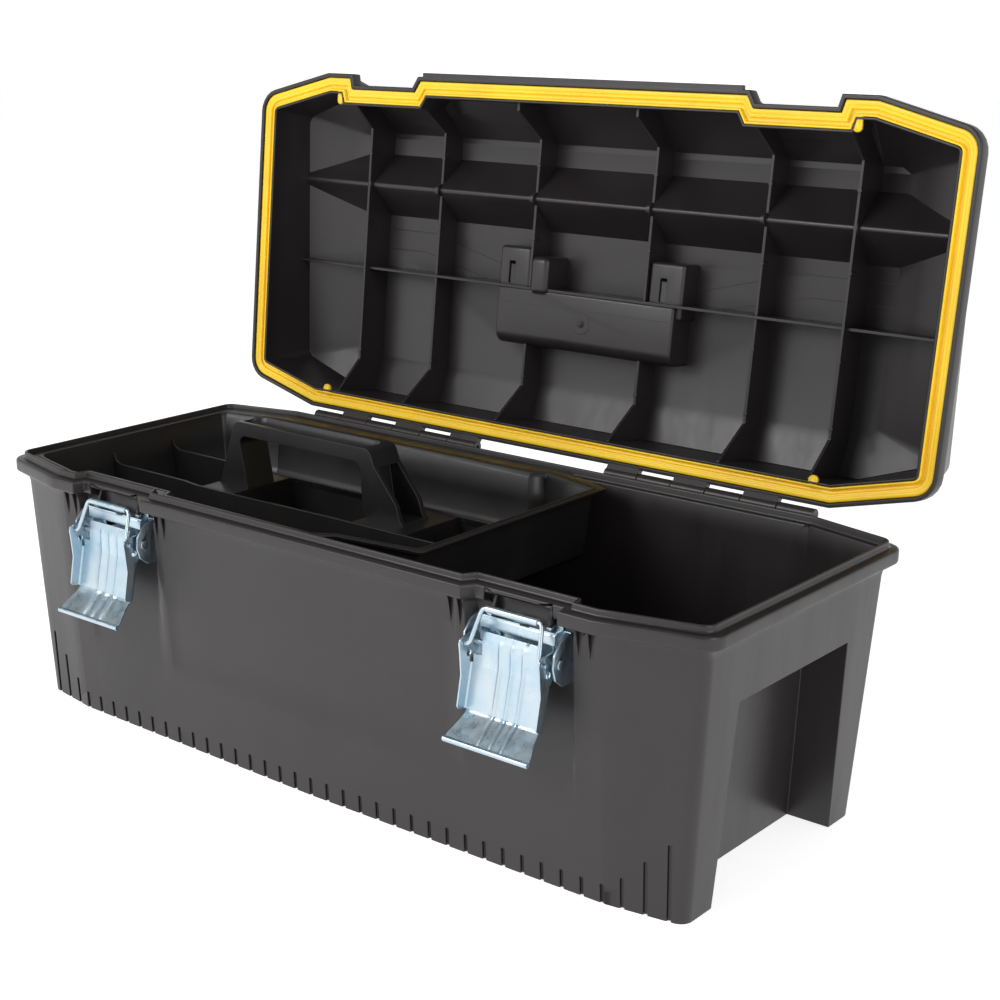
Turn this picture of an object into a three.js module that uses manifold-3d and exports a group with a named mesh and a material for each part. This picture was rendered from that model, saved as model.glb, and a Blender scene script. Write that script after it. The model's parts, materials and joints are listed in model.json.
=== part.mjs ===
// A 28 inch structural-foam carpenter's toolbox, shown with its lid open.
// Millimetres, +Z up. The origin is the centre of the underside.
// +X runs along the length and -Y is the latch side.
// Everything on the lid is drawn in its closed place and then turned back about the hinge line.
import * as THREE from "three";
import { mergeVertices } from "three/addons/utils/BufferGeometryUtils.js";
import Module from "manifold-3d";

const wasm = await Module();
wasm.setup();

// ---------------------------------------------------------------- driving dimensions
const HALF_LENGTH = 345.4; // outer face of the tongue that the seal closes on
const HALF_DEPTH = 141.4;
const CORNER_Y = 122.8; // where the long chamfers meet the ends
const CHAMFER_X = 271.5; // where the chamfers meet the front and back
const CORNER_RADIUS = 10;
const RECESS_X = [159.7, 165.6, 248.9, 251.4]; // latch recess: step in, floor, floor, step out
const RECESS_Y = 131.8;
const LATCH_X = 206; // centre of each latch

const TONGUE = { thick: 2.4, top: 218.4 };
const LEDGE = { z: 212, inset: 6.4 }; // the shelf inside the tongue that the tray rests on
const FLANGE = { out: 7.4, top: 213, bottom: 202.5 };
const WALL = { thick: 4, top: 196, floor: 4.5, fade: 22 };
const FOOT = { halfLength: 333, cornerY: 115, chamferX: 275, chamferY: 124.5, centreY: 129 };
const ARCH = { top: 151.5, topY: 74, footY: 82, topX: 306, footX: 298 };
const SLOT = { pitch: 17, width: 3, depth: 2.2, top: 15, risers: [24, 41, 58] };

const HINGE = { y: 159.4, z: 212.9, radius: 5, pin: 2, open: 95.76 };
const KNUCKLE = { first: 68.5, pitch: 32.5, gap: 0.5, count: 6 };

const LID = { rim: 213.4, rimTop: 225, rimOut: 10.8, top: 286, plate: 3.5 };
const SEAL = { face: 215.2, back: 221, out: 7, inset: 4.7, grooveOut: 0.5, grooveIn: 2.9, grooveTop: 219 };
const RIB = { thick: 3, at: [60, 167, 248], inner: 258, outer: 250, rim: 223 };
const SPINE = { y: 20.5, edge: 255 };
const GROOVE = { y: -56, ridge: 252, halfWidth: 31, wall: 3.4 };
const HOUSING = { halfLength: 92, y0: 21, y1: 71, face: 255, wall: 3.5 };
const BOSS = { x0: 62, x1: 96, y0: -14, face: 260 };
const HANDLE = { y: 0, z: 275, armX: 79, armWidth: 9, reach: 46, grip: 24 };

const TRAY = { inset: 12, rim: 212.3, rimTop: 214.8, floor: 157, wall: 2.6, draft: 5 };
const DIVIDER = { y: 35, top: 193 };
const PULL = { halfLength: 160, front: -155.6, thick: 4 }; // the lip along the lid's front
const ARCH_HANDLE = { x0: -200, x1: -28, top: 249, legTopX0: -197, legTopX1: -40, half: 16, foot: 192 };

const LEVER = { pivotY: -143, pivotZ: 174, wireY: -154, wireZ: 175, half: 34.2, neck: 32, lip: 36.2 };
const LEVER_SHEET = 1.3;
const BRACKET = { half: 38.5, back: -129.9, sheet: 1.5, z0: 157, z1: 193 };
const RIVET = { x: [-22, 22], z: 178, shank: 2, head: 3.7 };
const BAIL = { radius: 1.6, topY: -145, topZ: 200, topHalf: 25, legHalf: 29.4, end: 36.2, sleeve: 2.7 };

// ---------------------------------------------------------------- materials
const plastic = (color, roughness) => new THREE.MeshStandardMaterial({ color, roughness, metalness: 0 });
const metal = (color, roughness) => new THREE.MeshStandardMaterial({ color, roughness, metalness: 1 });

// ---------------------------------------------------------------- solids and joins
function toSolid(geometry) {
  const bare = geometry.index ? geometry.toNonIndexed() : geometry.clone();
  bare.deleteAttribute("normal");
  bare.deleteAttribute("uv");
  const merged = mergeVertices(bare, 1e-4);
  const mesh = new wasm.Mesh({
    numProp: 3,
    vertProperties: new Float32Array(merged.attributes.position.array),
    triVerts: new Uint32Array(merged.index.array),
  });
  return new wasm.Manifold(mesh);
}

function toGeometry(solid) {
  const mesh = solid.getMesh();
  const indexed = new THREE.BufferGeometry();
  indexed.setAttribute("position", new THREE.BufferAttribute(new Float32Array(mesh.vertProperties), 3));
  indexed.setIndex(new THREE.BufferAttribute(new Uint32Array(mesh.triVerts), 1));
  const flat = indexed.toNonIndexed();
  flat.computeVertexNormals();
  return flat;
}

const join = (...solids) => solids.flat().reduce((all, one) => all.add(one));
const cut = (body, ...tools) => tools.flat().reduce((rest, tool) => rest.subtract(tool), body);

function piece(name, solid, material) {
  const mesh = new THREE.Mesh(toGeometry(solid), material);
  mesh.name = name;
  return mesh;
}

function box(x0, x1, y0, y1, z0, z1) {
  const geometry = new THREE.BoxGeometry(x1 - x0, y1 - y0, z1 - z0);
  return toSolid(geometry.translate((x0 + x1) / 2, (y0 + y1) / 2, (z0 + z1) / 2));
}

// A round bar along X.
function rodX(x0, x1, y, z, radius, sides = 24) {
  const geometry = new THREE.CylinderGeometry(radius, radius, x1 - x0, sides).rotateZ(Math.PI / 2);
  return toSolid(geometry.translate((x0 + x1) / 2, y, z));
}

// A round bar along Y.
function rodY(y0, y1, x, z, radius, sides = 20) {
  const geometry = new THREE.CylinderGeometry(radius, radius, y1 - y0, sides);
  return toSolid(geometry.translate(x, (y0 + y1) / 2, z));
}

// An outline of [y, z] points drawn out along X.
function prismX(points, x0, x1) {
  const shape = new THREE.Shape(points.map(([y, z]) => new THREE.Vector2(y, z)));
  const geometry = new THREE.ExtrudeGeometry(shape, { depth: x1 - x0, bevelEnabled: false });
  const axes = new THREE.Matrix4().makeBasis(
    new THREE.Vector3(0, 1, 0),
    new THREE.Vector3(0, 0, 1),
    new THREE.Vector3(1, 0, 0),
  );
  return toSolid(geometry.applyMatrix4(axes).translate(x0, 0, 0));
}

// An outline of [x, z] points drawn out along Y.
function prismY(points, y0, y1) {
  const shape = new THREE.Shape(points.map(([x, z]) => new THREE.Vector2(x, z)));
  const geometry = new THREE.ExtrudeGeometry(shape, { depth: y1 - y0, bevelEnabled: false });
  return toSolid(geometry.rotateX(Math.PI / 2).translate(0, y1, 0));
}

// A closed skin through rings of [x, y, z] points, counter-clockwise from above and listed upwards.
function loft(rings) {
  const count = rings[0].length;
  const positions = rings.flat(2);
  const index = [];
  for (let level = 0; level < rings.length - 1; level++) {
    for (let i = 0; i < count; i++) {
      const a = level * count + i;
      const b = level * count + ((i + 1) % count);
      index.push(a, b, b + count, a, b + count, a + count);
    }
  }
  const cap = (ring) => THREE.ShapeUtils.triangulateShape(ring.map(([x, y]) => new THREE.Vector2(x, y)), []);
  const last = (rings.length - 1) * count;
  cap(rings[0]).forEach(([a, b, c]) => index.push(a, c, b));
  cap(rings.at(-1)).forEach(([a, b, c]) => index.push(last + a, last + b, last + c));
  const geometry = new THREE.BufferGeometry();
  geometry.setAttribute("position", new THREE.Float32BufferAttribute(positions, 3));
  geometry.setIndex(index);
  return toSolid(geometry);
}

// ---------------------------------------------------------------- outlines
const level = (outline, z) => outline.map(([x, y]) => [x, y, z]);
const slab = (outline, z0, z1) => loft([level(outline, z0), level(outline, z1)]);
const frustum = (lower, z0, upper, z1) => loft([level(lower, z0), level(upper, z1)]);

// The outline moved outwards by d, square to its sides (inwards where d is negative).
function grown(outline, d) {
  return outline.map(([x, y], i) => {
    const [px, py] = outline.at(i - 1);
    const [nx, ny] = outline[(i + 1) % outline.length];
    const before = new THREE.Vector2(y - py, px - x).normalize();
    const after = new THREE.Vector2(ny - y, x - nx).normalize();
    const mitre = before.clone().add(after);
    const scale = (2 * d) / mitre.lengthSq();
    return [x + mitre.x * scale, y + mitre.y * scale];
  });
}

// A corner replaced by an arc that touches both of its sides.
function roundedCorner(before, corner, after, radius, steps = 4) {
  const c = new THREE.Vector2(...corner);
  const u = new THREE.Vector2(...before).sub(c).normalize();
  const v = new THREE.Vector2(...after).sub(c).normalize();
  const half = Math.acos(u.dot(v)) / 2;
  const centre = u.clone().add(v).normalize().multiplyScalar(radius / Math.sin(half)).add(c);
  const from = u.clone().multiplyScalar(radius / Math.tan(half)).add(c).sub(centre);
  const to = v.clone().multiplyScalar(radius / Math.tan(half)).add(c).sub(centre);
  const turn = Math.atan2(from.x * to.y - from.y * to.x, from.dot(to));
  return Array.from({ length: steps + 1 }, (_, i) => {
    const spoke = from.clone().rotateAround(new THREE.Vector2(), (turn * i) / steps);
    return [centre.x + spoke.x, centre.y + spoke.y];
  });
}

const mirrored = (half) => [...half, ...half.map(([x, ...rest]) => [-x, ...rest]).reverse()];

// Half the plan, from the latch side round to the hinge side, with the same named places at every height.
function plan(at) {
  const half = [
    ...at.recess,
    at.frontChamfer,
    ...roundedCorner(at.frontChamfer, at.frontCorner, at.backCorner, at.radius),
    ...roundedCorner(at.frontCorner, at.backCorner, at.backChamfer, at.radius),
    at.backChamfer,
  ];
  return mirrored(half);
}

const rimPlan = (radius) =>
  plan({
    recess: [
      [RECESS_X[0], -HALF_DEPTH],
      [RECESS_X[1], -RECESS_Y],
      [RECESS_X[2], -RECESS_Y],
      [RECESS_X[3], -HALF_DEPTH],
    ],
    frontChamfer: [CHAMFER_X, -HALF_DEPTH],
    frontCorner: [HALF_LENGTH, -CORNER_Y],
    backCorner: [HALF_LENGTH, CORNER_Y],
    backChamfer: [CHAMFER_X, HALF_DEPTH],
    radius,
  });
const tonguePlan = rimPlan(CORNER_RADIUS);

// The outside of the tub wall at height z. It drafts in towards the ground, and the latch recesses fade out.
function wallPlan(z) {
  const inset = TONGUE.thick;
  const up = z / WALL.top;
  const mix = (low, high) => low + (high - low) * up;
  const frontY = (x) => {
    const foot = x < FOOT.chamferX ? FOOT.centreY + ((FOOT.chamferY - FOOT.centreY) * x) / FOOT.chamferX : 0;
    return -mix(foot, HALF_DEPTH - inset);
  };
  const deep = Math.max(0, (z - WALL.fade) / (WALL.top - WALL.fade));
  const recessY = (x) => frontY(x) * (1 - deep) - (RECESS_Y - inset) * deep;
  const chamferX = mix(FOOT.chamferX - 1, CHAMFER_X);
  return plan({
    recess: [
      [RECESS_X[0], frontY(RECESS_X[0])],
      [RECESS_X[1], recessY(RECESS_X[1])],
      [RECESS_X[2], recessY(RECESS_X[2])],
      [RECESS_X[3], frontY(RECESS_X[3])],
    ],
    frontChamfer: [chamferX, frontY(FOOT.chamferX - 1)],
    frontCorner: [mix(FOOT.halfLength, HALF_LENGTH - inset), -mix(FOOT.cornerY, CORNER_Y - inset)],
    backCorner: [mix(FOOT.halfLength, HALF_LENGTH - inset), mix(FOOT.cornerY, CORNER_Y - inset)],
    backChamfer: [chamferX, mix(FOOT.chamferY, HALF_DEPTH - inset)],
    radius: CORNER_RADIUS,
  });
}

// ---------------------------------------------------------------- tub
// The space under a hand-hold at the end, grown by a margin where it shapes the wall behind it.
function archSpace(side, margin) {
  const far = HALF_LENGTH + 20;
  const footY = ARCH.footY + margin;
  const topY = ARCH.topY + margin;
  const ring = (x, y, z) => {
    const [x0, x1] = side > 0 ? [x - margin, far] : [-far, -x + margin];
    return [[x0, -y, z], [x1, -y, z], [x1, y, z], [x0, y, z]];
  };
  return loft([ring(ARCH.footX, footY, -1), ring(ARCH.topX, topY, ARCH.top + margin)]);
}

// Narrow upright grooves along the foot of the front and the back.
function footGrooves() {
  const lows = Array.from({ length: 17 }, (_, i) => [i * SLOT.pitch, SLOT.top]);
  const risers = SLOT.risers.map((top, i) => [(17 + i) * SLOT.pitch - 2, top]);
  const spots = mirrored([...lows.slice(1), ...risers]).concat([lows[0]]);
  return spots.flatMap(([x, top]) => {
    const foot = wallPlan(0).map(([px, py]) => new THREE.Vector2(px, py));
    const faceY = (sign) => {
      for (let i = 0; i < foot.length; i++) {
        const a = foot[i];
        const b = foot[(i + 1) % foot.length];
        const inside = (a.x - x) * (b.x - x) <= 0 && a.x !== b.x;
        const y = a.y + ((b.y - a.y) * (x - a.x)) / (b.x - a.x || 1);
        if (inside && Math.sign(y) === sign) return y;
      }
      return sign * FOOT.chamferY;
    };
    const half = SLOT.width / 2;
    const [front, back] = [faceY(-1) + SLOT.depth, faceY(1) - SLOT.depth];
    const lean = (top * (HALF_DEPTH - FOOT.centreY)) / WALL.top;
    const groove = (sign, y) => {
      const far = y + sign * 12;
      const outline = [[y, -1], [far, -1], [far, top], [y + sign * lean, top]];
      return prismX(sign > 0 ? outline : outline.reverse(), x - half, x + half);
    };
    return [groove(-1, front), groove(1, back)];
  });
}

// The hinge barrels along one side of the centre: the even places are the lid's and the odd ones the tub's.
function barrels(owner, side) {
  const places = Array.from({ length: KNUCKLE.count }, (_, i) => i).filter((i) => i % 2 === owner);
  return places.map((i) => {
    const x0 = KNUCKLE.first + i * KNUCKLE.pitch + KNUCKLE.gap / 2;
    const x1 = x0 + KNUCKLE.pitch - KNUCKLE.gap;
    return side > 0 ? [x0, x1] : [-x1, -x0];
  });
}

const bore = (x0, x1) => rodX(x0 - 1, x1 + 1, HINGE.y, HINGE.z, HINGE.pin + 0.35);

function tubKnuckle([x0, x1]) {
  const arm = [
    [HALF_DEPTH + 5, 204],
    [HINGE.y, HINGE.z - HINGE.radius],
    [HINGE.y + 1, HINGE.z + 1],
    [HALF_DEPTH + 5, FLANGE.top - 0.2],
  ];
  const barrel = rodX(x0, x1, HINGE.y, HINGE.z, HINGE.radius);
  return cut(join(barrel, prismX(arm, x0, x1)), bore(x0, x1));
}

// The pair of small ribs above each bracket, which widen downwards.
function gussets() {
  const rib = (x, y, low) => {
    const high = WALL.top + 14;
    const outline = [[y + 2, low], [y + 1.5, high], [y - 2.2, high], [y - 6.8, low + 2.5], [y - 6.6, low]];
    return prismX(outline.reverse(), x - 1, x + 1);
  };
  const face = -RECESS_Y + 2.6;
  return [-1, 1].flatMap((side) => [-25, 25].map((dx) => rib(side * LATCH_X + dx, face, WALL.top + 1)));
}

const rivetHoles = (latchX) => RIVET.x.map((x) => rodY(-140, -118, latchX + x, RIVET.z, RIVET.shank + 0.3));

function baseShell() {
  const wall = join(
    loft([0, WALL.fade, WALL.top].map((z) => level(wallPlan(z), z))),
    slab(grown(tonguePlan, -TONGUE.thick), WALL.top - 1, FLANGE.top),
  );
  const flange = loft([
    level(grown(tonguePlan, -TONGUE.thick), WALL.top + 0.5),
    level(grown(tonguePlan, FLANGE.out - 1.2), FLANGE.bottom),
    level(grown(tonguePlan, FLANGE.out), FLANGE.top - 1),
    level(grown(tonguePlan, FLANGE.out - 0.8), FLANGE.top),
  ]);
  const skirtCuts = [-1, 1].map((side) => {
    const [x0, x1] = [side * LATCH_X - 38, side * LATCH_X + 38];
    return box(x0, x1, -RECESS_Y - 12, -RECESS_Y + TONGUE.thick - 0.05, WALL.top, FLANGE.top - 4);
  });
  const tongue = slab(tonguePlan, FLANGE.top - 2, TONGUE.top);
  const inner = (z) => level(grown(wallPlan(z), -WALL.thick), z);
  const cavity = cut(
    join(
      loft([inner(WALL.floor), inner(WALL.fade + 4), inner(WALL.top)]),
      slab(grown(tonguePlan, -LEDGE.inset), WALL.top - 1, LEDGE.z + 1),
      slab(grown(tonguePlan, -TONGUE.thick), LEDGE.z, TONGUE.top + 5),
    ),
    archSpace(-1, WALL.thick),
    archSpace(1, WALL.thick),
  );
  const knuckles = [-1, 1].flatMap((side) => barrels(1, side).map(tubKnuckle));
  const outside = join(wall, cut(flange, skirtCuts), tongue);
  const holes = [-1, 1].flatMap((side) => rivetHoles(side * LATCH_X));
  const shell = cut(outside, cavity, archSpace(-1, 0), archSpace(1, 0), footGrooves(), holes);
  return join(shell, gussets(), knuckles);
}

// ---------------------------------------------------------------- lid
// The lid's plan at its shoulder and at its top plate, with a height for each place.
function lidRing(inset, drop) {
  const front = (x, y) => [x, -y + inset];
  return {
    shoulder: plan({
      recess: RECESS_X.map((x, i) => front(x, i === 1 || i === 2 ? 134 : 141)),
      frontChamfer: front(CHAMFER_X, 141),
      frontCorner: [338 - inset, -118 + inset],
      backCorner: [338 - inset, 120 - inset],
      backChamfer: [CHAMFER_X - inset, 143 - inset],
      radius: CORNER_RADIUS,
    }).map(([x, y]) => [x, y, THREE.MathUtils.mapLinear(y, -143, 143, 256, 276) - drop]),
    plate: level(
      plan({
        recess: RECESS_X.map((x) => [x, -106 + inset / 2]),
        frontChamfer: [CHAMFER_X - 6, -106 + inset / 2],
        frontCorner: [276 - inset / 2, -98],
        backCorner: [276 - inset / 2, 98],
        backChamfer: [CHAMFER_X - 6, 108 - inset / 2],
        radius: 3,
      }),
      LID.top - drop,
    ),
  };
}

// The lengthwise V in the lid's top that holds a board or pipe for sawing.
function sawGroove(wall) {
  const slope = GROOVE.halfWidth / (LID.top - GROOVE.ridge);
  const low = GROOVE.ridge + wall * 1.4;
  const top = LID.top + 4;
  const half = (top - low) * slope;
  const outline = [[GROOVE.y, low], [GROOVE.y + half, top], [GROOVE.y - half, top]];
  return prismX(outline, -HALF_LENGTH - 20, HALF_LENGTH + 20);
}

// The well that the carry handle folds into, and the two bays for its arms.
function handleWell(wall) {
  const { halfLength, y0, y1, face } = HOUSING;
  const top = LID.top + 4;
  const bays = [-1, 1].map((side) => {
    const [x0, x1] = side > 0 ? [BOSS.x0, BOSS.x1] : [-BOSS.x1, -BOSS.x0];
    return box(x0 + wall, x1 - wall, BOSS.y0 + wall, y0 + wall + 1, BOSS.face + wall, top);
  });
  return join(box(-halfLength + wall, halfLength - wall, y0 + wall, y1 - wall, face + wall, top), bays);
}

function lidRib(x, freeEdge) {
  const outline = [
    [-150, RIB.rim],
    [-128, RIB.rim],
    [-106, freeEdge],
    [106, freeEdge],
    [134, RIB.rim],
    [150, RIB.rim],
    [150, LID.top],
    [-150, LID.top],
  ];
  return prismX(outline, x - RIB.thick / 2, x + RIB.thick / 2);
}

function lidKnuckle([x0, x1]) {
  const arm = [
    [HALF_DEPTH + LID.rimOut - 2, LID.rim + 0.2],
    [HINGE.y, LID.rim + 0.2],
    [HINGE.y + 2.5, HINGE.z + HINGE.radius - 0.7],
    [HALF_DEPTH + LID.rimOut - 2, LID.rim + 8],
  ];
  const barrel = rodX(x0, x1, HINGE.y, HINGE.z, HINGE.radius);
  return cut(join(barrel, prismX(arm, x0, x1)), bore(x0, x1));
}

function lidShell() {
  const outer = lidRing(0, 0);
  const inner = lidRing(6, LID.plate);
  const rim = grown(tonguePlan, LID.rimOut);
  const wallFoot = grown(tonguePlan, LID.rimOut - 4);
  const outside = loft([
    level(rim, LID.rim),
    level(rim, LID.rimTop - 1),
    level(wallFoot, LID.rimTop),
    outer.shoulder,
    outer.plate,
  ]);
  const mouth = grown(tonguePlan, -SEAL.inset - 2.3);
  const hollow = cut(
    loft([level(mouth, LID.rim - 3), level(mouth, LID.rimTop), inner.shoulder, inner.plate]),
    sawGroove(0),
    handleWell(0),
  );
  const sealRoom = cut(
    slab(grown(tonguePlan, SEAL.out + 0.3), LID.rim - 3, SEAL.back + 0.3),
    slab(mouth, LID.rim - 4, SEAL.back + 1),
  );
  const lip = cut(
    slab(grown(tonguePlan, -SEAL.inset - 0.3), SEAL.face + 1, SEAL.back + 1),
    slab(mouth, SEAL.face, SEAL.back + 2),
  );
  const ribs = RIB.at.flatMap((x, i) => [-x, x].map((at) => lidRib(at, i === 2 ? RIB.outer : RIB.inner)));
  const spine = box(-HALF_LENGTH, HALF_LENGTH, SPINE.y - 1.2, SPINE.y + 1.2, SPINE.edge, LID.top);
  const inside = join(ribs, spine).intersect(cut(outside, slab(rim, LID.rim - 1, RIB.rim)));
  const pullBack = -HALF_DEPTH - LID.rimOut + 2;
  const pull = box(-PULL.halfLength, PULL.halfLength, PULL.front, pullBack, LID.rim, LID.rim + PULL.thick);
  const knuckles = [-1, 1].flatMap((side) => barrels(0, side).map(lidKnuckle));
  const skin = cut(outside, hollow, sealRoom);
  const pinHoles = [-1, 1].map((side) =>
    rodX(side * HANDLE.armX - 13, side * HANDLE.armX + 13, HANDLE.y, HANDLE.z, 3.3, 20),
  );
  const whole = join(skin, lip, inside, pull, knuckles);
  return cut(whole, sawGroove(GROOVE.wall), handleWell(HOUSING.wall), pinHoles);
}

function lidSeal() {
  const band = cut(
    slab(grown(tonguePlan, SEAL.out), SEAL.face, SEAL.back),
    slab(grown(tonguePlan, -SEAL.inset), SEAL.face - 1, SEAL.back + 1),
  );
  const groove = cut(
    slab(grown(tonguePlan, SEAL.grooveOut), SEAL.face - 1, SEAL.grooveTop),
    slab(grown(tonguePlan, -SEAL.grooveIn), SEAL.face - 2, SEAL.grooveTop + 1),
  );
  return cut(band, groove);
}

// The folding bail handle: two arms on pins, joined by a bar.
function carryHandle() {
  const { y, z, armX, armWidth, reach } = HANDLE;
  const arms = [-1, 1].map((side) => {
    const [x0, x1] = [side * armX - armWidth / 2, side * armX + armWidth / 2];
    const web = box(x0, x1, y, y + reach, z - 7, z + 6);
    return cut(join(rodX(x0, x1, y, z, 8), web), rodX(x0 - 1, x1 + 1, y, z, 3.3, 20));
  });
  const bar = box(-armX - armWidth / 2, armX + armWidth / 2, y + reach - 9, y + reach + 9, z - 9, z + 7);
  return join(arms, bar).subtract(gripSleeve(0.3));
}

// The soft sleeve round the handle's bar.
function gripSleeve(grow) {
  const { y, z, reach, grip } = HANDLE;
  const half = 64 + grow;
  const outline = Array.from({ length: 16 }, (_, i) => {
    const turn = (i / 16) * 2 * Math.PI;
    return [y + reach + (grip / 2 + 3) * Math.cos(turn), z - 1 + (grip / 2 - 1) * Math.sin(turn)];
  });
  const [middle, thick] = [y + reach, 7 - grow];
  const core = box(-half - 1, half + 1, middle - thick, middle + thick, z - thick, z + thick - 2);
  return cut(prismX(outline, -half, half), core);
}

const handlePin = (side) => {
  const x = side * HANDLE.armX;
  return rodX(x - 12.5, x + 12.5, HANDLE.y, HANDLE.z, 3, 20);
};

// ---------------------------------------------------------------- tray
// The left end of the tray follows the tub's outline, and the rest is its own.
const leftEnd = (inset) => grown(rimPlan(inset + 9), -inset).slice(tonguePlan.length / 2);
const trayPlan = [
  ...leftEnd(TRAY.inset).filter(([, y]) => y < 0),
  [6, TRAY.inset - HALF_DEPTH],
  [22, -119],
  [92, -108],
  [92, 108],
  [34, 124],
  [22, 116],
  [-268, 116],
  [TRAY.inset - HALF_LENGTH, 104],
];
const trayRim = [
  ...leftEnd(3.2),
  [10, 3.2 - HALF_DEPTH],
  [25, -124],
  [101, -114],
  [101, 114],
  [42, 138],
  [20, 138],
];

// The open trough along the top of the tray's handle, with its two legs.
function trayHandle() {
  const { x0, x1, top, legTopX0, legTopX1, half, foot } = ARCH_HANDLE;
  const outline = [
    [x0 - 14, foot - 2],
    [legTopX0, top - 8],
    [legTopX0 + 9, top],
    [legTopX1 - 9, top],
    [legTopX1 + 4, top - 8],
    [x1 + 24, foot - 2],
    [x1 - 18, foot - 2],
    [legTopX1 - 9, top - 20],
    [legTopX1 - 16, top - 12],
    [legTopX0 + 16, top - 12],
    [legTopX0 + 9, top - 20],
    [x0 + 22, foot - 2],
  ];
  const arch = prismY(outline.reverse(), -half, half);
  const trough = rodX(legTopX0 - 30, legTopX1 + 30, 0, top + 3, 12.4, 28);
  const legHollows = [
    [[x0 - 20, foot - 1], [x0 - 6, foot - 1], [legTopX0 + 4, top - 14], [legTopX0 - 12, top - 6]],
    [[x1 + 6, foot - 1], [x1 + 30, foot - 1], [legTopX1 + 14, top - 6], [legTopX1 - 2, top - 14]],
  ].map((points) => prismY(points, -half + 5, half - 5));
  return cut(arch, trough, legHollows);
}

function tray() {
  const floorPlan = grown(trayPlan, -TRAY.draft);
  const body = frustum(floorPlan, TRAY.floor, trayPlan, TRAY.rimTop);
  const innerFloor = grown(floorPlan, -TRAY.wall);
  const inner = frustum(innerFloor, TRAY.floor + TRAY.wall, grown(trayPlan, -TRAY.wall), TRAY.rimTop + 1);
  const rim = slab(trayRim, TRAY.rim, TRAY.rimTop);
  const across = [-DIVIDER.y, DIVIDER.y].map((y) =>
    box(-340, 100, y - 1.2, y + 1.2, TRAY.floor, DIVIDER.top),
  );
  const benches = [
    [-228, -176],
    [-42, 14],
  ].map(([x0, x1]) => {
    const shape = [[x0, TRAY.floor], [x1, TRAY.floor], [x1, ARCH_HANDLE.foot], [x0, ARCH_HANDLE.foot]];
    const hollow = [
      [x0 + 2.6, TRAY.floor - 1],
      [x1 - 2.6, TRAY.floor - 1],
      [x1 - 2.6, ARCH_HANDLE.foot - 2.6],
      [x0 + 2.6, ARCH_HANDLE.foot - 2.6],
    ];
    return { solid: prismY(shape, -DIVIDER.y, DIVIDER.y), hollow: prismY(hollow, -33.8, 33.8) };
  });
  const inside = join(across, benches.map((bench) => bench.solid)).intersect(body);
  const dish = cut(join(body, rim), inner);
  return join(cut(join(dish, inside), benches.map((bench) => bench.hollow)), trayHandle());
}

// ---------------------------------------------------------------- latches
function latchBracket() {
  const { half, back, sheet, z0, z1 } = BRACKET;
  const front = back - sheet;
  const plate = box(-half, half, front, back, z0, z1);
  const shelf = box(-half + 6, half - 6, -139.5, front + 0.5, z1 - sheet, z1);
  const tab = box(half - 12, half - 6.5, front, back, z1 - 1, z1 + 6);
  const earOutline = [[back, z0], [-139, z0], [-147, 163], [-150, 172], [-149, 181], [-142, 189], [back, z1]];
  const ears = [-1, 1].map((side) => {
    const x0 = side > 0 ? half - sheet : -half;
    return prismX([...earOutline].reverse(), x0, x0 + sheet);
  });
  const pinHole = rodX(-half - 1, half + 1, LEVER.pivotY, LEVER.pivotZ, 2.35);
  const window = box(2, 10, -141, front - 1.2, z1 - 3, z1 + 1);
  return cut(join(plate, shelf, tab, ears), pinHole, window, rivetHoles(0));
}

// The pressed lever: a channel with its sides turned forwards, and a lip at its foot with a rolled edge.
function latchLever() {
  const { half, neck, lip, pivotY, pivotZ, wireY, wireZ } = LEVER;
  const sheet = LEVER_SHEET;
  const face = (side) => [
    [-144.4 + side, 183.4],
    [-146.8 + side, 177],
    [-146.8 + side, 160],
    [-153.8 + side, 127.5],
    [-172.6 + side, 111],
  ];
  const channel = prismX([...face(0), ...face(sheet).reverse()], -lip, lip);
  const notch = (side, inner, z0, z1) => {
    const [x0, x1] = side > 0 ? [inner, lip + 1] : [-lip - 1, -inner];
    return box(x0, x1, -180, -130, z0, z1);
  };
  const sides = [-1, 1].flatMap((side) => [notch(side, half - 10, 167, 190), notch(side, neck, 125, 168)]);
  const roll = rodX(-lip, lip, -172.8, 110.2, 2.1, 16);
  const earOutline = [
    [-136.8, 174],
    [-138.4, 179.6],
    [-142, 181.6],
    [-157, 180.2],
    [-160, 176],
    [-157.8, 153],
    [-161.8, 131],
    [-154.4, 127.8],
    [-147.4, 152],
    [-139.6, 167],
  ];
  const ears = [-1, 1].map((side) => {
    const x0 = side > 0 ? half - sheet : -half;
    return prismX([...earOutline].reverse(), x0, x0 + sheet);
  });
  const webs = [-1, 1].map((side) => {
    const outline = [
      [-146.8, 166],
      [-145.5, 166],
      [-145.5, 160],
      [-152.5, 128],
      [-153.8, 128],
      [-146.8, 160],
    ];
    const x0 = side > 0 ? neck - 1 : -half;
    return prismX(outline, x0, x0 + half - neck + 1);
  });
  const holes = [
    rodX(-half - 1, half + 1, pivotY, pivotZ, 2.35),
    rodX(-half - 1, half + 1, wireY, wireZ, 1.95, 20),
    rodX(-half - 1, half + 1, -150.4, 165.5, 2.6, 20),
  ];
  return cut(join(cut(channel, sides), webs, roll, ears), holes);
}

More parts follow.
